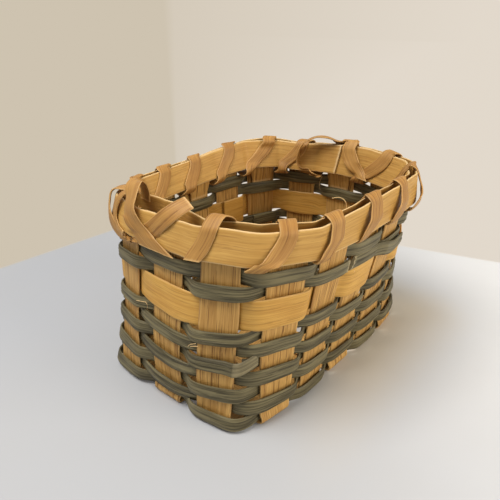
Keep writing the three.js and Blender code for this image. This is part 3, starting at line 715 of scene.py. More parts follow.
def stake_stations(k):
    """Stations of stake k from the base up: place, way out of the face and width."""
    stations = []

    def add(offset, z, angle, width, at_z=None):
        middle, _, out = (v[0] for v in foot(np.array([k]), np.array([z])))
        face = out * math.cos(angle) + UP * math.sin(angle)
        spot = middle + out * offset
        spot[2] = z if at_z is None else at_z
        stations.append([*spot, *face, width])

    fold_z = SPLINT_THICK / 2 + FOLD_RADIUS
    folded = k % 2 == 1
    bulge = FOLD_BULGE if folded else 0.0
    narrow = FOLD_NARROW if folded else 0.0
    for angle in (math.pi / 2, math.pi / 4):
        swell = bulge * (1 - angle / math.pi * 2) * FOLD_SWELL
        add(FOLD_RADIUS * (math.cos(angle) - 1) + swell, fold_z, -angle,
            SPLINT_WIDTH - narrow, fold_z - FOLD_RADIUS * math.sin(angle))
    if folded:
        add(bulge, fold_z + FOLD_END, 0.0, SPLINT_WIDTH - narrow)
    top = TOP_ROW_END + top_rise(k) if folded else RIM_TOP - FLUSH_BELOW_RIM
    for z in np.arange(fold_z + ROW_PITCH / 2 * folded, top - TOP_ROOM, ROW_PITCH / 2):
        beat = math.cos(math.pi * (z - FIRST_ROW_Z - WEAVER_WIDTH / 2) / ROW_PITCH)
        sway = STAKE_SWAY * beat * (1 if folded else -1) * float(z < WIDE_ROW_Z)
        add(sway * min((z - fold_z) / SWAY_FADE, 1), z, 0.0, SPLINT_WIDTH)
    add(0.0, top, 0.0, SPLINT_WIDTH)
    if folded:
        radius = -TIP_OFFSET / 2
        for angle in (math.pi / 4, math.pi / 2, 3 * math.pi / 4):
            add(radius * (math.cos(angle) - 1), top, angle, SPLINT_WIDTH, top + radius * math.sin(angle))
        add(TIP_OFFSET, top, math.pi, SPLINT_WIDTH)
        add(TIP_OFFSET, top - TIP_HOLD, math.pi, SPLINT_WIDTH * (1 - TIP_TAPER) + TIP_WIDTH * TIP_TAPER)
        row_9_end = ROW_9_Z + WEAVER_WIDTH
        add(-(SPLINT_THICK + AIR), row_9_end + row_rise(k, row_9_end) + 2 * AIR, math.pi, TIP_WIDTH)
    return stations


print("stations of the first stake:", len(stake_stations(0)))

# %% A splint from end to end
def splint(lengthwise, number):
    """One splint as a strip: down one wall, over and under through the base and up the other."""
    crossed = CROSSWISE_COUNT if lengthwise else LENGTHWISE_COUNT
    pitch = CROSSWISE_PITCH if lengthwise else LENGTHWISE_PITCH
    near = number if lengthwise else LENGTHWISE_COUNT + number
    far = 2 * LENGTHWISE_COUNT + CROSSWISE_COUNT - 1 - number if lengthwise else STAKES - 1 - number
    slot = middle_lengthwise - number if lengthwise else number - middle_crosswise
    spacing = LENGTHWISE_PITCH if lengthwise else CROSSWISE_PITCH
    low = SPLINT_THICK / 2
    high = low + SPLINT_THICK + AIR
    base = []

    def level(along, z):
        spot = (along, slot * spacing, z) if lengthwise else (slot * spacing, along, z)
        base.append([*spot, 0.0, 0.0, -1.0, SPLINT_WIDTH])

    drop_end = (crossed - 1) / 2 * pitch + REACH + BASE_DROP
    level(-drop_end, low)
    for i in range(crossed):
        other = i if lengthwise else crossed - 1 - i
        under = ((number + other) % 2 == 0) == lengthwise
        centre = (i - (crossed - 1) / 2) * pitch
        for edge in (-REACH, 0, REACH):
            level(centre + edge, low if under else high)
    level(drop_end, low)
    stations = stake_stations(near)[::-1] + base + stake_stations(far)
    s, line = smooth_line(stations, SPLINT_STEP)
    kind = "lengthwise" if lengthwise else "crosswise"
    name = f"{kind}_splint_{number + 1}"
    seed = 40 + 10 * lengthwise + number
    across, through = section(count=18, squareness=22)
    width = line[:, 6] + wander(s, seed, 40, 0.18)
    centre = line[:, :3].copy()
    centre[:, 2] = np.maximum(centre[:, 2], SPLINT_THICK / 2)
    ridges = relief(s, across, seed, size=0.05)
    points = sweep(centre, line[:, 3:6], width, SPLINT_THICK, across, through, ridges)
    return make_strip(f"fine_{name}", settle(points), s, across, width, natural, name,
                      worn=end_wear(s, 2.0))


# %% Make the splints
splints = [splint(True, i) for i in range(LENGTHWISE_COUNT)]
splints += [splint(False, j) for j in range(CROSSWISE_COUNT)]
print("splints:", len(splints), "vertices:", sum(len(p.data.vertices) for p in splints))

# %% [markdown]
# ## Weavers
# A weaver passes outside one stake and inside the next, and the next row does the opposite. In
# wall places that is a wave: its distance from the wall swings once for every two stakes, flat on
# the stakes and quick between them. Each row ends in a lap, with its second end on the inside.
# The fifth row's end is the exception: it comes out at the near corner, bends there and stands off.
# A curve with a flat bevel could make a row, but its section would turn away from the flaring wall.
# Points that are given in wall places lie flat against the stakes by themselves.

# %% One weaver
WEAVER_STEP = 0.8
OUTSIDE_EVEN = 0                     # parity of a row that passes outside the even stakes
OUTSIDE_ODD = 1
WEAVE_POWER = 2.2                    # the higher it is, the longer a row lies flat on a stake
OUTSIDE_SPREAD = 0.09                # a strip is this much wider where it bends round a stake
SLANT_REACH = 12.0                   # length over which a slanted end straightens
SWING = WEAVE + ROW_BULGE


def weave(around, parity):
    """Share of the way out, from -1 inside to 1 outside: c = cos(pi * around) flattened to
    1 - (1 - |c|)^power with the sign of c."""
    c = np.cos(np.pi * (around - parity))
    return np.sign(c) * (1 - (1 - np.abs(c)) ** WEAVE_POWER)


def weaver(node, around, offset, bottom, seed, width=WEAVER_WIDTH, thick=WEAVER_THICK, finish=dyed,
           squareness=3.6, columns=12, ridge_size=0.16, drop=0.0, slant=0.0,
           worn=None, rise=row_rise):
    """One row: section points are placed straight in wall places, so it follows the wall's flare.

    Slant leans its first cut end, in stakes from the lower edge to the upper.
    """
    s = way_gone(around, offset, bottom)
    across, through = section(columns, squareness)
    breadth = width * (1 + OUTSIDE_SPREAD * np.abs(offset) / SWING) + wander(s, seed, 60, 0.22)
    centre_z = bottom + width / 2 + wander(s, seed + 1, 55, 0.16) - drop
    ridges = relief(s, across, seed + 2, size=ridge_size)
    lean = slant * ease(1 - s / SLANT_REACH)[:, None]
    around_at = around[:, None] + across[None] * lean / 2
    height = centre_z[:, None] + across[None] * breadth[:, None] / 2
    height = height + rise(around_at, height)
    out = offset[:, None] + through[None] * thick / 2 * (1 + ridges)
    points = settle(place(around_at, out, height))
    return make_strip(f"fine_{node}", points, s, across, breadth, finish, node, worn=worn)


print(f"a row swings {SWING:.2f} mm to each side of the wall's middle")

# %% The rows' ways round the wall
LAP_GRIP = 0.7 * EDGE                # a row's end goes this far past the middle of a stake
LAP_STAKES = {1: 13, 2: 10, 3: 15, 4: 12, 6: 14, 7: 11}  # the stake at which each row laps
ROW_DIPS = {2: 1.8, 3: 1.4, 4: 1.0}  # how far a row sags at the middle of the near short wall
DIP_AT, DIP_REACH = 1.0, 0.7
# The fifth row's start tucks in between two stakes. Its end comes out at the near corner: the places
# of the kink and of the end, in stakes, how far both stand off the wall, and how far the end rises
KINKED_ROW = 5
START_AT, START_REACH, START_IN = 2.42, 0.25, 0.2
KINK_AT, KINK_END = 2.36, 2.62
KINK_OUT, KINK_IN = 2.7, 0.75
KINK_REACH = 0.2
KINK_LIFT = 2.2
# How bare that row is at its start, past the kink and on the kink's line, and over what reach
START_WORN, START_WORN_REACH = 0.3, 0.4
KINK_WORN, KINK_WORN_REACH = 0.42, 0.02
LINE_WORN, LINE_WORN_REACH = 0.5, 0.025


def row_places(start, end):
    """Evenly spaced places round the wall, about one step apart."""
    mean_step = 2 * np.pi * (HALF_LENGTH + HALF_WIDTH) / 2 / STAKES
    return np.linspace(start, end, int((end - start) * mean_step / WEAVER_STEP))


def lapped(parity, lap):
    """A row's places and offsets, with its ends lapped on the inside of stake lap."""
    around = row_places(lap - LAP_GRIP, lap + STAKES + LAP_GRIP)
    offset = SWING * weave(around, parity)
    return around, offset - LAYER * ease((around - lap - STAKES + 0.5) / (0.5 - EDGE))


def kinked(parity):
    """The fifth row's places, offsets, worn shares and drop.

    Past the kink its offset goes straight from KINK_OUT to KINK_IN, and before it blends from the
    weave. The bare wood shows at its start, past the kink and most of all on the kink's own line.
    """
    around = row_places(START_AT, STAKES + KINK_END)
    past_start = around - START_AT
    past_kink = around - STAKES - KINK_AT
    end_part = past_kink / (KINK_END - KINK_AT)
    start_share = ease(past_start / START_REACH)
    end_share = ease(1 + past_kink / KINK_REACH)
    woven = SWING * weave(around, parity) * start_share - START_IN * (1 - start_share)
    loose_end = KINK_OUT - (KINK_OUT - KINK_IN) * end_part.clip(0, 1)
    offset = woven * (1 - end_share) + loose_end * end_share
    worn = START_WORN * ease(1 - past_start / START_WORN_REACH)
    worn = worn + KINK_WORN * ease(past_kink / KINK_WORN_REACH)
    worn = worn + LINE_WORN * bell(around, KINK_AT, LINE_WORN_REACH)
    return around, offset, worn, -KINK_LIFT * ease(end_part)


print("places along the first row:", len(lapped(OUTSIDE_EVEN, LAP_STAKES[1])[0]))

# %% Weave the rows
WIDE_ROW_LAP = 12
ROW_10_LAP = 14
ROW_9_START = 5 - LAP_GRIP
ROW_9_END = STAKES + 4.41
ROW_9_TURN, ROW_9_WORN = 0.1, 0.08   # its end goes outward, and is bare, over this much of a stake step
TOP_ROW_SEAM, TOP_ROW_GAP = 12, 0.03  # its ends stop this short of each other at that stake
SPLICE_START, SPLICE_END = 4.56, 6 + EDGE
SPLICE_SLANT, SPLICE_WORN = 0.12, 0.12

rows = []
for row in range(1, ROWS_BELOW + 1):
    parity = OUTSIDE_EVEN if row % 2 == 1 else OUTSIDE_ODD
    if row == KINKED_ROW:
        around, offset, worn, drop = kinked(parity)
    else:
        around, offset = lapped(parity, LAP_STAKES[row])
        worn = None
        drop = ROW_DIPS.get(row, 0.0) * bell(around, DIP_AT, DIP_REACH)
    bottom = FIRST_ROW_Z + (row - 1) * ROW_PITCH
    seed = 100 + 7 * row
    rows.append(weaver(f"weaver_row_{row:02d}", around, offset, bottom, seed, worn=worn, drop=drop))

around, offset = lapped(OUTSIDE_ODD, WIDE_ROW_LAP)
rows.append(weaver("weaver_row_08_wide", around, offset, WIDE_ROW_Z, 170, WIDE_ROW_WIDTH, WIDE_ROW_THICK,
                   wide, squareness=16, columns=18, ridge_size=0.05))

# The ninth row stops outside the wall between two stakes, and the splice goes on from there
around = row_places(ROW_9_START, ROW_9_END)
end_share = ease((ROW_9_END - around) / ROW_9_TURN)
offset = SWING * weave(around, OUTSIDE_EVEN) * end_share + WEAVE * (1 - end_share)
worn = ease(1 - (ROW_9_END - around) / ROW_9_WORN)
rows.append(weaver("weaver_row_09", around, offset, ROW_9_Z, 180, worn=worn))

around, offset = lapped(OUTSIDE_ODD, ROW_10_LAP)
rows.append(weaver("weaver_row_10", around, offset, ROW_10_Z, 190))

around = row_places(TOP_ROW_SEAM + TOP_ROW_GAP, STAKES + TOP_ROW_SEAM - TOP_ROW_GAP)
offset = WEAVE * weave(around, OUTSIDE_EVEN)
rows.append(weaver("weaver_row_11_top", around, offset, TOP_ROW_Z, 200, rise=top_rise))

# The splice lies on stake 5 and then on top of the ninth row, where it hangs a little lower
around = row_places(SPLICE_START, SPLICE_END)
knots = [SPLICE_START, 5 - EDGE, 5, 5 + EDGE, 5.5, 6 - EDGE, 6, 6 + EDGE]
layers = [0, 0, 0, 0, 0.5, 1, 1, 1]
bulge = ROW_BULGE * np.cos(np.pi * (around - np.round(around))).clip(0) ** 2
offset = WEAVE + LAYER * np.interp(around, knots, layers) + bulge
drop = SPLICE_DROP * ease(2 * (around - 5.5))
worn = ease(1 - (around - SPLICE_START) / SPLICE_WORN)
rows.append(weaver("weaver_row_09_splice", around, offset, ROW_9_Z, 210, drop=drop, slant=SPLICE_SLANT,
                   worn=worn))
print("weaver rows:", len(rows), "vertices:", sum(len(piece.data.vertices) for piece in rows))

# %% Loose fibres
# A few fibres have split off the strips: the node each belongs to, then its wall places
FIBRES = [
    ("weaver_row_07", [(0.44, 3.0, 41.2), (0.55, 3.5, 42.2), (0.64, 3.6, 42.6), (0.66, 3.5, 39.6)]),
    ("weaver_row_06", [(1.58, 2.6, 34.6), (1.62, 3.3, 36.4), (1.72, 3.6, 37.8)]),
    ("weaver_row_06", [(1.62, 2.8, 35.2), (1.69, 3.6, 36.4), (1.75, 3.4, 36.6)]),
    ("weaver_row_11_top", [(9.4, -4.4, 67.0), (9.43, -5.6, 63.5), (9.38, -6.2, 60.0)]),
    ("weaver_row_11_top", [(4.3, -3.6, 81.0), (4.3, -5.0, 84.5), (4.24, -7.0, 86.0), (4.18, -9.0, 85.6)]),
    ("weaver_row_09_splice", [(4.57, 3.6, 55.6), (4.5, 4.2, 56.6), (4.44, 4.6, 57.0)]),
]
FIBRE_SIZE = 0.26
FIBRE_STEP = 0.4
FIBRE_TAPER = 0.6
FIBRE_FACE = np.array([0.36, 0.48, 0.8])


def fibre(number, node, places):
    """A loose fibre: a thin round line through its places, thinner towards its end."""
    places = np.array(places)
    s, line = smooth_line(place(places[:, 0], places[:, 1], places[:, 2]), FIBRE_STEP)
    across, through = section(count=4, squareness=2)
    size = FIBRE_SIZE * (1 - FIBRE_TAPER * s / s[-1])
    face = np.tile(FIBRE_FACE, (len(s), 1))
    points = sweep(line[:, :3], face, size, FIBRE_SIZE, across, through)
    return make_strip(f"fine_fibre_{number}", settle(points), s, across, size, natural,
                      node, worn=np.ones(len(s)))


fibres = [fibre(number, node, places) for number, (node, places) in enumerate(FIBRES, 1)]
print("loose fibres:", len(fibres))

# %% [markdown]
# ## Rim bands
# Two flat bands hold the stakes' ends between them. They lean together at the top, where the
# lashing pulls them, and the inner one stands off at the near corner. Each band's end laps over
# its start. One ring, scaled, could serve for both, but they lean and slacken in different ways. So
# each has its own formula for its distance from the wall, which the lashing also asks later.

# %% How far the bands stand off
OUTER_LAP = 12
INNER_LAP = 9
OUTER_HOLD = WEAVE + WEAVER_THICK / 2 + AIR + BAND_THICK / 2
INNER_HOLD = TIP_OFFSET - SPLINT_THICK / 2 - AIR - BAND_THICK / 2


def outer_at(around, share):
    """Offset of the outer band's middle; share runs from 0 at its lower edge to 1 at its upper.

    The band leans about the height where the top row's upper edge holds it away.
    """
    hold_share = (TOP_ROW_END + top_rise(around) - OUTER_BOTTOM) / OUTER_BAND_HEIGHT
    return OUTER_HOLD + BAND_LEAN_OUTER * (hold_share - share)


def inner_at(around, share):
    """Offset of the inner band's middle. Its slack grows from its lower edge to its upper."""
    hold_share = (TOP_ROW_END + top_rise(around) - INNER_BOTTOM) / BAND_HEIGHT
    slack = (CORNER_SLACK * bell(around, NEAR_CORNER, CORNER_SLACK_REACH)
             + END_SLACK * bell(around, END_SLACK_AT, END_SLACK_REACH))
    slack = slack * (SLACK_LOW + (1 - SLACK_LOW) * share)
    return INNER_HOLD + BAND_LEAN_INNER * (share - hold_share) - slack


print(f"at the first stake the bands stand {outer_at(0, 0):.1f} and {-inner_at(0, 0):.1f} mm off")

# %% The two bands as the lashing meets them
class Side:
    """One of the two bands as the lashing meets it: which way it faces, its place and its size."""

    def __init__(self, sign, offset_at, bottom, height, lap):
        self.sign = sign
        self.offset_at = offset_at
        self.bottom = bottom
        self.height = height
        self.lap = lap


OUTER = Side(1, outer_at, OUTER_BOTTOM, OUTER_BAND_HEIGHT, OUTER_LAP)
INNER = Side(-1, inner_at, INNER_BOTTOM, BAND_HEIGHT, INNER_LAP)


print("band ends lap at stakes", OUTER.lap, "and", INNER.lap)

# %% Make the bands
def band(name, side, seed):
    """A rim band, from its upper lapping end round to its lower one."""
    around = row_places(side.lap, side.lap + STAKES + BAND_LAP)
    s = way_gone(around, 0, side.bottom)
    across, through = section(count=20, squareness=18)
    past = (around - side.lap - BAND_LAP) / BAND_LAP_EASE
    lift = side.sign * (BAND_THICK + AIR) * (1 - ease(past))
    share = (across[None] * (1 + wander(s, seed, 70, 0.02)[:, None]) + 1) / 2
    ridges = relief(s, across, seed + 1, size=0.05)
    half_thick = through[None] * BAND_THICK / 2 * (1 + ridges)
    out = side.offset_at(around[:, None], share) + lift[:, None] + half_thick
    height = side.bottom + share * side.height + wander(s, seed + 2, 90, 0.15)[:, None]
    points = settle(place(around[:, None] + 0 * share, out, height))
    width = np.full(len(s), side.height)
    return make_strip(f"fine_{name}", points, s, across, width, band_wood, name,
                      worn=end_wear(s, 1.5))


outer_band = band("rim_band_outer", OUTER, 300)
inner_band = band("rim_band_inner", INNER, 310)
print("rim bands:", outer_band.name, inner_band.name)

# %% [markdown]
# ## Lashing
# One flat strip winds round both bands. It goes through the wall between two stakes, up
# the outside, over the rim and down the inside to the next gap. It was pulled tight by hand, so
# every turn crosses at its own slant, curves in to its slot and is pinched narrow there. In a few
# places it stands free: an arch on the far wall, two loops at the left corner and its last end.
# A helix would be shorter to write and would look made by a machine. Here each turn has its own
# line of numbers, and the stations between them follow from the bands' faces.

# %% Measures of the lashing
LASH_AIR = 0.25                      # clearance under the lashing
LASH_SPREAD = 0.13                   # half of the width that a turn takes up round the rim, in stakes
LASH_RUN_STEPS = (0.25, 0.5, 0.75)   # shares of a band's height that have a station
LASH_RUN_REACH = 0.9                 # part of its way round that a turn has made at the band's edge
LASH_RUN_BEND = 0.75                 # how much of that way is made low down
LASH_START = 0.05                    # share of a band's height where a run leaves its lower place
LASH_ENTRY = 1.3                     # height over which the strip turns up from the slot to a band
LASH_FOOT = 0.8                      # share of its width that the strip has there
LASH_STEP = 0.7
CROWN_RISE = 0.35                    # the strip arches this much over the rim
CROWN_FOLD = 0.3                     # and is folded along the wall by this share there
EDGE_DROP = 0.4                      # it still lies on the band this far under the rim
EDGE_PULL = 0.7                      # and turns in by this much over the band's edge
EDGE_SINK = 0.1
EDGE_OUT, EDGE_UP = 0.5, 0.85        # its face's way there, outward and upward
FLAT_SLANT, FOLD_SPAN = 0.15, 0.3    # sine of the slant where a fold starts, and over which it grows
LEAST_SLANT = 0.8                    # the strip gets no wider than for a slant with this sine
CROWN = RIM_TOP + AIR + LASH_THICK / 2
LASH_GAP = LASH_AIR + LASH_THICK / 2 + BAND_THICK / 2
CROSS_LAYER = LASH_THICK + 2 * AIR
print(f"the lashing's middle passes over the rim at {CROWN:.1f} mm")

# %% The lashing's turns
# One line per turn: where it goes through the wall and over the rim, in stakes, then how far it
# stands off outside, at the crown and inside, in mm
LASH_TURNS = [
    (1.62, 1.86, 0.0, 2.2, 0.0),
    (2.5, 2.94, 0.3, 1.2, 0.0),
    (3.46, 3.78, 1.0, 0.8, 0.0),
    (4.44, 4.84, 1.4, 0.8, 0.0),
    (5.48, 5.84, 1.2, 0.6, 0.0),
    (6.44, 6.9, 1.6, 1.2, 0.4),
    (7.5, 7.86, 0.0, 0.6, 0.3),
    (8.46, 9.2, 0.0, 0.8, 0.0),
    (9.56, 9.93, 0.0, 0.5, 0.0),
    (10.5, 10.77, 0.0, 0.5, 0.0),
    (11.5, 11.89, 0.0, 0.4, 0.0),
    (12.5, 12.97, 0.0, 0.6, 0.0),
    (13.5, 13.9, 0.0, 0.8, 0.0),
    (14.5, 14.75, 0.5, 0.8, 1.8),
    (16.28, 15.42, 0.0, 0.8, 0.0),
    (16.52, 17.0, 0.0, 0.3, 0.0),
]
print("turns of the lashing:", len(LASH_TURNS))


# %% How the lashing clears the bands
def slot_z(around, side):
    """Height at which the strip goes in under a band, or under the top row where that is lower."""
    return min(TOP_ROW_Z + top_rise(around), side.bottom) - LASH_THICK


def bow(around):
    """How far the curved wall falls away from flat over the width of the strip."""
    at = place(np.array([around - LASH_SPREAD, around, around + LASH_SPREAD]), 0, RIM_TOP)
    return float(np.linalg.norm(2 * at[1] - at[0] - at[2]) / 2)


def lap_lift(around, lap):
    """Extra thickness where a band's ends lap."""
    past = (around + LASH_SPREAD - lap) % STAKES
    return BAND_THICK + AIR if past < BAND_LAP + BAND_LAP_EASE + LASH_SPREAD else 0.0


def face_offset(side, around, share):
    """Offset at which the strip clears a band's face: half of both thicknesses and the air, the
    lap, the wall's curve and the band's own slant under the strip."""
    before, after = around - LASH_SPREAD, around + LASH_SPREAD
    slant = abs(side.offset_at(after, share) - side.offset_at(before, share)) / 2
    clear = LASH_GAP + lap_lift(around, side.lap) + bow(around) + slant
    return float(side.offset_at(around, share) + side.sign * clear)


print(f"gap to the outer band's middle: {face_offset(OUTER, 5.5, 0.5) - outer_at(5.5, 0.5):.2f} mm")

# %% Stations of a strip
def tight(around, offset, z, out, up=0.0, width=LASH_WIDTH, fold=1.0):
    """A station of a strip that is wound tight: its wall place, the shares in which its face looks
    out, up and along the wall, how far it is folded along the wall, and its width."""
    return [around, offset, z, out, up, 0.0, fold, width]


def free(places, width):
    """Stations where the strip hangs free and isn't folded. A place has its three wall numbers, then
    the shares in which the strip's face looks out, up and along the wall."""
    return [[*at, 0.0, width] for at in places]


print("numbers in a station:", len(tight(0, 0, 0, 1.0)))

# %% Up a band, over the rim and through the wall
def face_run(side, low_at, top_at, layer=0.0, loose=0.0):
    """Stations up one band's face.

    The run is shallow at its lower end: at a share of the band's height it has gone
    reach * (share + bend * share * (1 - share)) of its way round.
    """
    heights = [slot_z(low_at, side) + LASH_ENTRY]
    heights += [side.bottom + t * side.height for t in LASH_RUN_STEPS]
    heights.append(RIM_TOP - EDGE_DROP)
    stations = []
    for z in heights:
        share = (z - side.bottom) / side.height
        gone = max(share, LASH_START)
        gone = gone + LASH_RUN_BEND * gone * (1 - gone)
        around = low_at + (top_at - low_at) * LASH_RUN_REACH * gone
        slope = side.sign * (face_offset(side, around, 0) - face_offset(side, around, 1)) / side.height
        stand = layer + loose * math.sin(math.pi * min(max(share, 0), 1)) ** 2
        offset = face_offset(side, around, share) + side.sign * stand
        width = LASH_WIDTH if stations else LASH_WIDTH * LASH_FOOT
        stations.append(tight(around, offset, z, side.sign, slope, width))
    around = low_at + (top_at - low_at) * LASH_RUN_REACH
    edge = face_offset(side, around, 1) - side.sign * EDGE_PULL
    stations.append(tight(around, edge, CROWN + layer - EDGE_SINK, EDGE_OUT * side.sign, EDGE_UP))
    return stations


def crown_point(around, layer=0.0, rise=0.0):
    """The station on top of the rim, midway between the bands."""
    middle = (face_offset(OUTER, around, 1) + face_offset(INNER, around, 1)) / 2
    return tight(around, middle, CROWN + layer + CROWN_RISE + rise, 0.0, 1.0, fold=CROWN_FOLD)


def slot_run(around):
    """Three stations through the wall, from the inside to the outside, squeezed between stakes."""
    nearest = place(np.array([around, round(around)]), 0, TOP_ROW_Z)
    room = float(np.linalg.norm(nearest[0] - nearest[1])) - SPLINT_WIDTH / 2 - AIR
    inside = slot_z(around, INNER)
    first = face_offset(INNER, around, 0) + LASH_THICK
    last = face_offset(OUTER, around, 0) - LASH_THICK
    return [tight(around, first, inside, 0.0, -1.0),
            tight(around, 0.0, inside, 0.0, -1.0, min(LASH_WIDTH, 2 * room)),
            tight(around, last, slot_z(around, OUTER), 0.0, -1.0, LASH_WIDTH * LASH_FOOT)]


print("stations of a run up the outer band:", len(face_run(OUTER, 5.0, 5.5)))

# %% A strip through its stations
def lash(name, stations, seed, node=None):
    """A strip through stations given in wall places.

    A flat strip that is wound round a bar folds along the bar's edges, so there its sections lie
    along the wall and not square to its line, and they are wider by 1 / sin(slant). Where the strip
    runs nearly along the wall it can't fold so, and its sections turn square again.
    """
    stations = np.array(stations)
    spots = place(stations[:, 0], stations[:, 1], stations[:, 2])
    s, line = smooth_line(np.column_stack([spots, stations]), LASH_STEP)
    around, offset, z, look_out, look_up, look_along, fold, width = line[:, 3:].T
    centre = place(around, offset, z)
    onward = unit(np.gradient(centre, axis=0))
    out = unit(place(around, offset + 1, z) - centre)
    along_wall = unit(place(around + 0.02, offset, z) - place(around - 0.02, offset, z))
    face = unit(out * look_out[:, None] + UP * look_up[:, None] + along_wall * look_along[:, None])
    square = unit(np.cross(onward, face))
    slant = np.linalg.norm(np.cross(onward, along_wall), axis=-1)
    fold = (ease((slant - FLAT_SLANT) / FOLD_SPAN) * fold.clip(0, 1))[:, None]
    side = unit(square * (1 - fold) + along_wall * fold)
    stretch = 1 / np.maximum(np.linalg.norm(np.cross(side, onward), axis=-1), LEAST_SLANT)
    across, through = section(count=12, squareness=12)
    breadth = (width + wander(s, seed, 45, 0.35)) * stretch
    ridges = relief(s, across, seed + 1, size=0.06)
    points = sweep(centre, face, breadth, LASH_THICK, across, through, ridges, cup=0.1, side=side)
    return make_strip(f"fine_{name}", settle(points), s, across, breadth, lash_wood,
                      node or name, worn=end_wear(s, 1.2))


# %% Free runs of the lashing
# Places where the strip leaves the bands: round the wall, distance out of its middle, height,
# and the shares in which its face looks out, up and along. The arch is on the far wall, the two
# loops are at the left corner, and the last end lies on the near short wall.
INSIDE = INNER_HOLD - 0.5
ARCH_TURN = 7
ARCH = [
    (9.36, INSIDE + 0.5, RIM_TOP + 4.4, 0.1, 1.0, 0.0),
    (9.62, INSIDE - 1.5, RIM_TOP + 4.6, 0.0, 0.95, 0.3),
    (9.88, INSIDE - 2.6, RIM_TOP + 1.6, -0.1, 0.5, 0.85),
    (10.0, INSIDE - 2.8, RIM_TOP - 4.0, -0.2, 0.1, 1.0),
    (10.0, INSIDE - 2.6, RIM_TOP - 9.6, -0.3, 0.0, 1.0),
    (9.9, INSIDE - 1.8, INNER_BOTTOM + 0.3, -0.6, -0.3, 0.7),
    (9.72, INSIDE - 1.0, INNER_BOTTOM - 1.0, -0.6, -0.8, 0.0),
]
ARCH_WIDTH = 6.0
LOOP_TURN = 14
LOOP = [
    (16.24, 3.4, 68.9, 1.0, -0.3, 0.0),
    (16.0, 4.0, 69.5, 1.0, 0.0, 0.0),
    (15.75, 4.5, 71.5, 1.0, 0.0, 0.0),
    (15.58, 4.7, 75.5, 1.0, 0.0, 0.0),
    (15.5, 4.5, 80.0, 1.0, 0.05, 0.0),
    (15.45, 3.6, 84.2, 0.9, 0.4, 0.0),
]
LOOP_WIDTH = 5.0
SECOND_LOOP = [
    (16.16, 4.7, 70.4, 1.0, 0.0, 0.0),
    (15.9, 4.5, 72.2, 1.0, 0.0, 0.0),
    (15.76, 4.3, 75.5, 1.0, 0.0, 0.0),
    (15.73, 4.0, 79.5, 1.0, 0.0, 0.0),
    (15.78, 3.4, 83.4, 0.9, 0.3, 0.0),
    (15.86, 1.6, 86.4, 0.4, 0.9, 0.0),
    (15.92, -1.4, 87.0, -0.2, 1.0, 0.0),
    (15.96, -4.2, 85.4, -0.7, 0.7, 0.0),
]
SECOND_WIDTH = 3.6
LAST_TURN = len(LASH_TURNS) - 1
LAST_END = [
    (16.52, 3.7, 71.2, 1.0, 0.05, 0.0),
    (16.73, 3.75, 75.4, 1.0, 0.08, 0.0),
    (16.92, 3.5, 80.6, 1.0, 0.15, 0.0),
    (17.06, 2.4, 84.6, 0.9, 0.35, 0.0),
    (17.15, 0.0, 87.2, 0.85, 0.5, 0.0),
    (17.22, -3.4, 88.9, 0.8, 0.6, 0.0),
]
LAST_WIDTH = 8.2
# A second strip crosses the last turns. It fans out where its lower end is caught under the outer
# band, so these stations are tight ones: place, distance out, height and width
LONG_FAN = [
    (16.94, 5.0, 69.4, 15.5),
    (16.64, 5.0, 74.4, 10.5),
    (16.44, 4.9, 79.3, 8.4),
]
LONG_CROSS = [
    (16.32, 4.5, 83.6, 1.0, 0.1, 0.0),
    (16.22, 2.6, 87.8, 0.9, 0.3, 0.0),
    (16.05, -0.3, 91.2, 0.35, 0.9, 0.0),
    (15.98, -3.6, 90.6, -0.6, 0.8, 0.0),
    (15.95, -6.2, 86.8, -1.0, 0.2, 0.0),
    (15.95, -7.0, 81.5, -1.0, 0.0, 0.0),
]
LONG_WIDTH = 8.4
# The far one goes up the outside, over the rim and down the inside at these places, in stakes
FAR_CROSS = {"outside": 8.9, "over": 8.88, "inside": 8.2}
FAR_END_RISE = 0.9

# %% Wind the lashing
turns = []
for turn, (through, over, loose_out, loose_top, loose_in) in enumerate(LASH_TURNS):
    if turn:
        turns += slot_run(through)
    if turn == LAST_TURN:
        turns += free(LAST_END, LAST_WIDTH)
        break
    if turn == LOOP_TURN:
        turns += free(LOOP, LOOP_WIDTH)
    else:
        turns += face_run(OUTER, through, over, 0.0, loose_out)
    turns.append(crown_point(over, 0.0, loose_top))
    if turn == ARCH_TURN:
        turns += free(ARCH, ARCH_WIDTH)
    else:
        turns += face_run(INNER, LASH_TURNS[turn + 1][0], over, 0.0, loose_in)[::-1]
lashing = lash("rim_lashing", turns, 400)
lash("rim_lashing_loop", free(SECOND_LOOP, SECOND_WIDTH), 430, node="rim_lashing")

# A second strip crosses the lashing with the other slant on each short side
near_cross = [tight(around, offset, z, 1.0, width=width) for around, offset, z, width in LONG_FAN]
near_cross += free(LONG_CROSS, LONG_WIDTH)
lash("lashing_cross_near", near_cross, 410)
far_cross = face_run(OUTER, FAR_CROSS["outside"], FAR_CROSS["over"], CROSS_LAYER)[1:]
far_cross.append(crown_point(FAR_CROSS["over"], CROSS_LAYER))
far_cross += face_run(INNER, FAR_CROSS["inside"], FAR_CROSS["over"], CROSS_LAYER)[::-1]
# Its last station is lifted off the slot, to end just over the inner band's lower edge
far_cross[-1][2] = INNER_BOTTOM + FAR_END_RISE
lash("lashing_cross_far", far_cross, 420)
print("lashing vertices:", len(lashing.data.vertices))

# %% [markdown]
# ## Camera
# The camera looks down on the near corner from a little above the rim. Its place and lens come
# from a fit of the rim, the rows and the stakes to the photograph, so that the render and the
# photograph can be laid over each other.

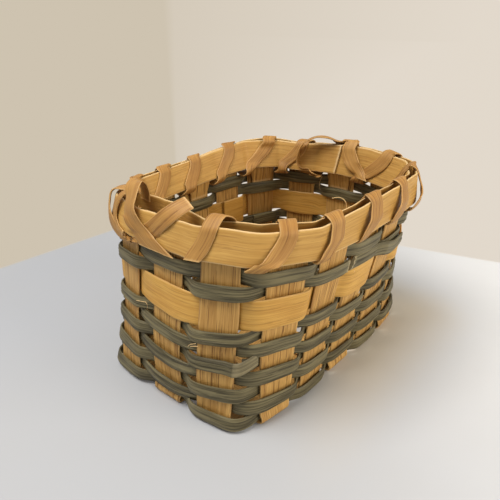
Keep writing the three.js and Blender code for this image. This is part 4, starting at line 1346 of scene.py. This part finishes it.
# %% Camera
LENS_MM = 37.44
SENSOR_MM = 36.0
PICTURE = 500.0                      # side of the picture in pixels
AZIMUTH = math.radians(-49.53)
ELEVATION = math.radians(24.40)
DISTANCE = 261.6
AIM = np.array([4.26 + CENTRE_X, 13.83 + LEAN + CENTRE_Y, 40.0])
back = np.array([math.sin(AZIMUTH) * math.cos(ELEVATION), -math.cos(AZIMUTH) * math.cos(ELEVATION),
                 math.sin(ELEVATION)])
camera_place = AIM + back * DISTANCE
camera_data = bpy.data.cameras.new("camera")
camera_data.lens = LENS_MM
camera_data.sensor_width = SENSOR_MM
camera_data.clip_start = 0.01
camera = bpy.data.objects.new("camera", camera_data)
bpy.context.scene.collection.objects.link(camera)
camera.location = camera_place * MM
camera.rotation_euler = (math.pi / 2 - ELEVATION, 0.0, AZIMUTH)
bpy.context.scene.camera = camera
bpy.context.scene.view_settings.view_transform = "Standard"


def floor_point(px, py):
    """Where a point of the picture meets the floor, in metres: the line of sight cut at height 0."""
    right = np.array([math.cos(AZIMUTH), math.sin(AZIMUTH), 0.0])
    up = np.cross(back, right)
    focal = PICTURE * LENS_MM / SENSOR_MM
    sight = -back * focal + right * (px - PICTURE / 2) - up * (py - PICTURE / 2)
    return (camera_place - sight * camera_place[2] / sight[2]) * MM


print("camera at", camera_place.round(1), "mm")

# %% [markdown]
# ## Floor and light
# The basket stands on a pale floor that ends a hand's breadth behind it. Its left part is painted
# darker as shade, patches of painted crease shade lie on it, and a brown painted shadow lies beside
# the basket's right side. Past the floor's two straight edges the camera sees a warm tone, painted
# darker at the left as shade. Two planes could make that, but one plane that takes the backdrop's
# tone past a line has no edge to hide and keeps the shadow whole. A wide soft lamp above, a weaker
# one in front and an even sky light both walls alike.

# %% The floor's edges and tones
FLOOR_HALF = 3.0
FLOOR_CORNER_AT = (178, 209)         # the floor's back corner and a point on each edge, in pixels
FLOOR_LEFT_AT = (0, 270)
FLOOR_RIGHT_AT = (500, 264)
FLOOR_EDGE = 0.004
# Painted light and shade: the floor's left part is darker, as shade, and its right part paler, as lit
FLOOR_LEFT = (0.435, 0.455, 0.495)
FLOOR_RIGHT = (0.88, 0.895, 0.92)
FLOOR_TURN = (-0.03, 0.28)           # where the floor's left tone ends and its right one starts
# Painted shade of creases in the floor: the grey that noise patches mix in, and how much
CREASE_SHADE = (0.42, 0.41, 0.39)
CREASE_SHADE_LEAST, CREASE_SHADE_SPAN = 0.08, 0.35
# Painted shade: a brown shadow on the floor beside the basket's right side, its colour, reach and share
SHADE = (0.66, 0.58, 0.46)
SHADE_REACH, SHADE_SHARE = 0.04, 0.8
SHADE_TURN = (0.0, 0.05)             # the shade grows from left to right over this width
# The backdrop's tones from left to right, painted darker at the left as shade, and the part of the view
# that they fill
BACKDROP = [(0.0, (0.617, 0.545, 0.434)), (0.10, (0.617, 0.545, 0.434)), (0.13, (0.66, 0.59, 0.49)),
            (1.0, (0.76, 0.69, 0.60))]
BACKDROP_FROM, BACKDROP_TO = -0.06, 0.5
back_corner = floor_point(*FLOOR_CORNER_AT)
left_edge = back_corner - floor_point(*FLOOR_LEFT_AT)
right_edge = floor_point(*FLOOR_RIGHT_AT) - back_corner
print("floor's back corner at", (back_corner / MM).round(0), "mm")

# %% The floor's mesh
floor_mesh = bpy.data.meshes.new("floor")
floor_corners = [(-FLOOR_HALF, -FLOOR_HALF, 0.0), (FLOOR_HALF, -FLOOR_HALF, 0.0),
                 (FLOOR_HALF, FLOOR_HALF, 0.0), (-FLOOR_HALF, FLOOR_HALF, 0.0)]
floor_mesh.from_pydata(floor_corners, [], [(0, 1, 2, 3)])
floor = bpy.data.objects.new("floor", floor_mesh)
bpy.context.scene.collection.objects.link(floor)


print("floor:", 2 * FLOOR_HALF, "m wide")

# %% Distances and directions over the floor
def left_of(way):
    """The level unit vector a quarter turn to the left of a way."""
    return np.array([-way[1], way[0], 0.0]) / math.hypot(way[0], way[1])


def beside(finish, spot, start, way):
    """Distance of the spot to the left of the line from start along way, in metres.

    The dot product with the line's left normal, minus that of its start.
    """
    left = left_of(way)
    return finish.vector("DOT_PRODUCT", spot, tuple(left)) - float(left @ start)


def backdrop_colour(tools, way):
    """The backdrop's tone in a direction: the share of its level part that points right of the view
    of the floor's back corner."""
    right = -left_of(back_corner - camera_place * MM)
    level = tools.vector("NORMALIZE", tools.vector("MULTIPLY", way, (1.0, 1.0, 0.0)))
    share = tools.vector("DOT_PRODUCT", level, tuple(right))
    place_in_tones = tools.node("ShaderNodeMapRange", None, {"Value": share, "From Min": BACKDROP_FROM,
                                                             "From Max": BACKDROP_TO})
    # The tones are painted darker towards the left, as shade
    return tools.node("ShaderNodeValToRGB", {"stops": BACKDROP}, {"Fac": place_in_tones})


# %% The floor's finish
pale = Finish("pale_floor")
spot = pale.node("ShaderNodeTexCoord", output=3)
past_left = beside(pale, spot, back_corner, left_edge)
past_right = beside(pale, spot, back_corner, right_edge)
past = pale.step(past_left.maximum(past_right), 0.0, FLOOR_EDGE)
view_way = np.array([math.sin(-AZIMUTH), math.cos(AZIMUTH), 0.0])
to_right = beside(pale, spot, np.zeros(3), view_way) * -1.0
# Painted crease shade: patches of noise mix a grey into the floor's tone
blotches = pale.node("ShaderNodeTexNoise", None, {"Vector": spot, "Scale": 14.0, "Detail": 5.0})
# Painted light and shade: the floor goes from a shaded tone at the left to a lit one at the right
floor_tone = pale.mix(pale.step(to_right, *FLOOR_TURN), FLOOR_LEFT, FLOOR_RIGHT)
floor_tone = pale.mix((blotches - 0.5) * CREASE_SHADE_SPAN + CREASE_SHADE_LEAST, floor_tone, CREASE_SHADE)

# Painted shade beside the basket's right side: a brown shadow, warm from the light the wood throws back.
# First, how far a place is outside the base's rectangle
beyond = pale.vector("SUBTRACT", pale.vector("ABSOLUTE", spot), (HALF_LENGTH * MM, HALF_WIDTH * MM, 0.0))
beyond = pale.vector("LENGTH", pale.vector("MAXIMUM", beyond, (0.0, 0.0, 0.0)))
shade = pale.step(beyond, SHADE_REACH, 0.0) * pale.step(to_right, *SHADE_TURN)
floor_tone = pale.mix(shade * SHADE_SHARE, floor_tone, SHADE)
pale.feed(pale.shader.inputs["Base Color"], floor_tone)
pale.shader.inputs["Roughness"].default_value = 0.7
pale.shader.inputs["Specular IOR Level"].default_value = 0.15

# Past the edges the camera sees the backdrop's tone, while light still falls on the floor
backdrop_tone = backdrop_colour(pale, pale.vector("SUBTRACT", spot, tuple(back_corner)))
backdrop = pale.node("ShaderNodeEmission", None, {"Color": backdrop_tone})
seen_by_camera = pale.node("ShaderNodeLightPath")
pale.choose(past * seen_by_camera, Value(pale.tree, pale.shader.outputs[0]), backdrop, "Material Output")
floor_mesh.materials.append(pale.material)
print("nodes in the floor's finish:", len(pale.tree.nodes))

# %% Sky
SKY_COLOUR = (1.0, 0.98, 0.94)
SKY_STRENGTH = 0.49

world = bpy.data.worlds.new("sky")
bpy.context.scene.world = world
world.use_nodes = True
sky = Tools(world.node_tree)
sky_light = sky.node("ShaderNodeBackground", None, {"Color": SKY_COLOUR, "Strength": SKY_STRENGTH})
# The sky seen by the camera takes the backdrop's tones, with their painted shade at the left
sky_tone = backdrop_colour(sky, sky.node("ShaderNodeTexCoord"))
sky_seen = sky.node("ShaderNodeBackground", None, {"Color": sky_tone})
sky.choose(sky.node("ShaderNodeLightPath"), sky_light, sky_seen, "World Output")
print("sky strength:", SKY_STRENGTH)

# %% Lamps
LAMP_TARGET = (0.0, 0.0, 0.04)


def lamp(name, position, size, power, colour):
    """A square soft lamp that looks at the basket."""
    data = bpy.data.lights.new(name, "AREA")
    data.size = size
    data.energy = power
    data.color = colour
    holder = bpy.data.objects.new(name, data)
    bpy.context.scene.collection.objects.link(holder)
    way = np.array(LAMP_TARGET) - np.array(position)
    holder.location = position
    yaw = math.atan2(way[1], way[0]) - math.pi / 2
    pitch = math.atan2(math.hypot(way[0], way[1]), -way[2])
    holder.rotation_euler = (pitch, 0.0, yaw)


lamp("key", position=(-0.30, 0.10, 0.75), size=0.42, power=5.9, colour=(1.0, 0.95, 0.88))
lamp("fill", position=(0.22, -0.75, 0.38), size=0.5, power=4.1, colour=(1.0, 0.89, 0.71))
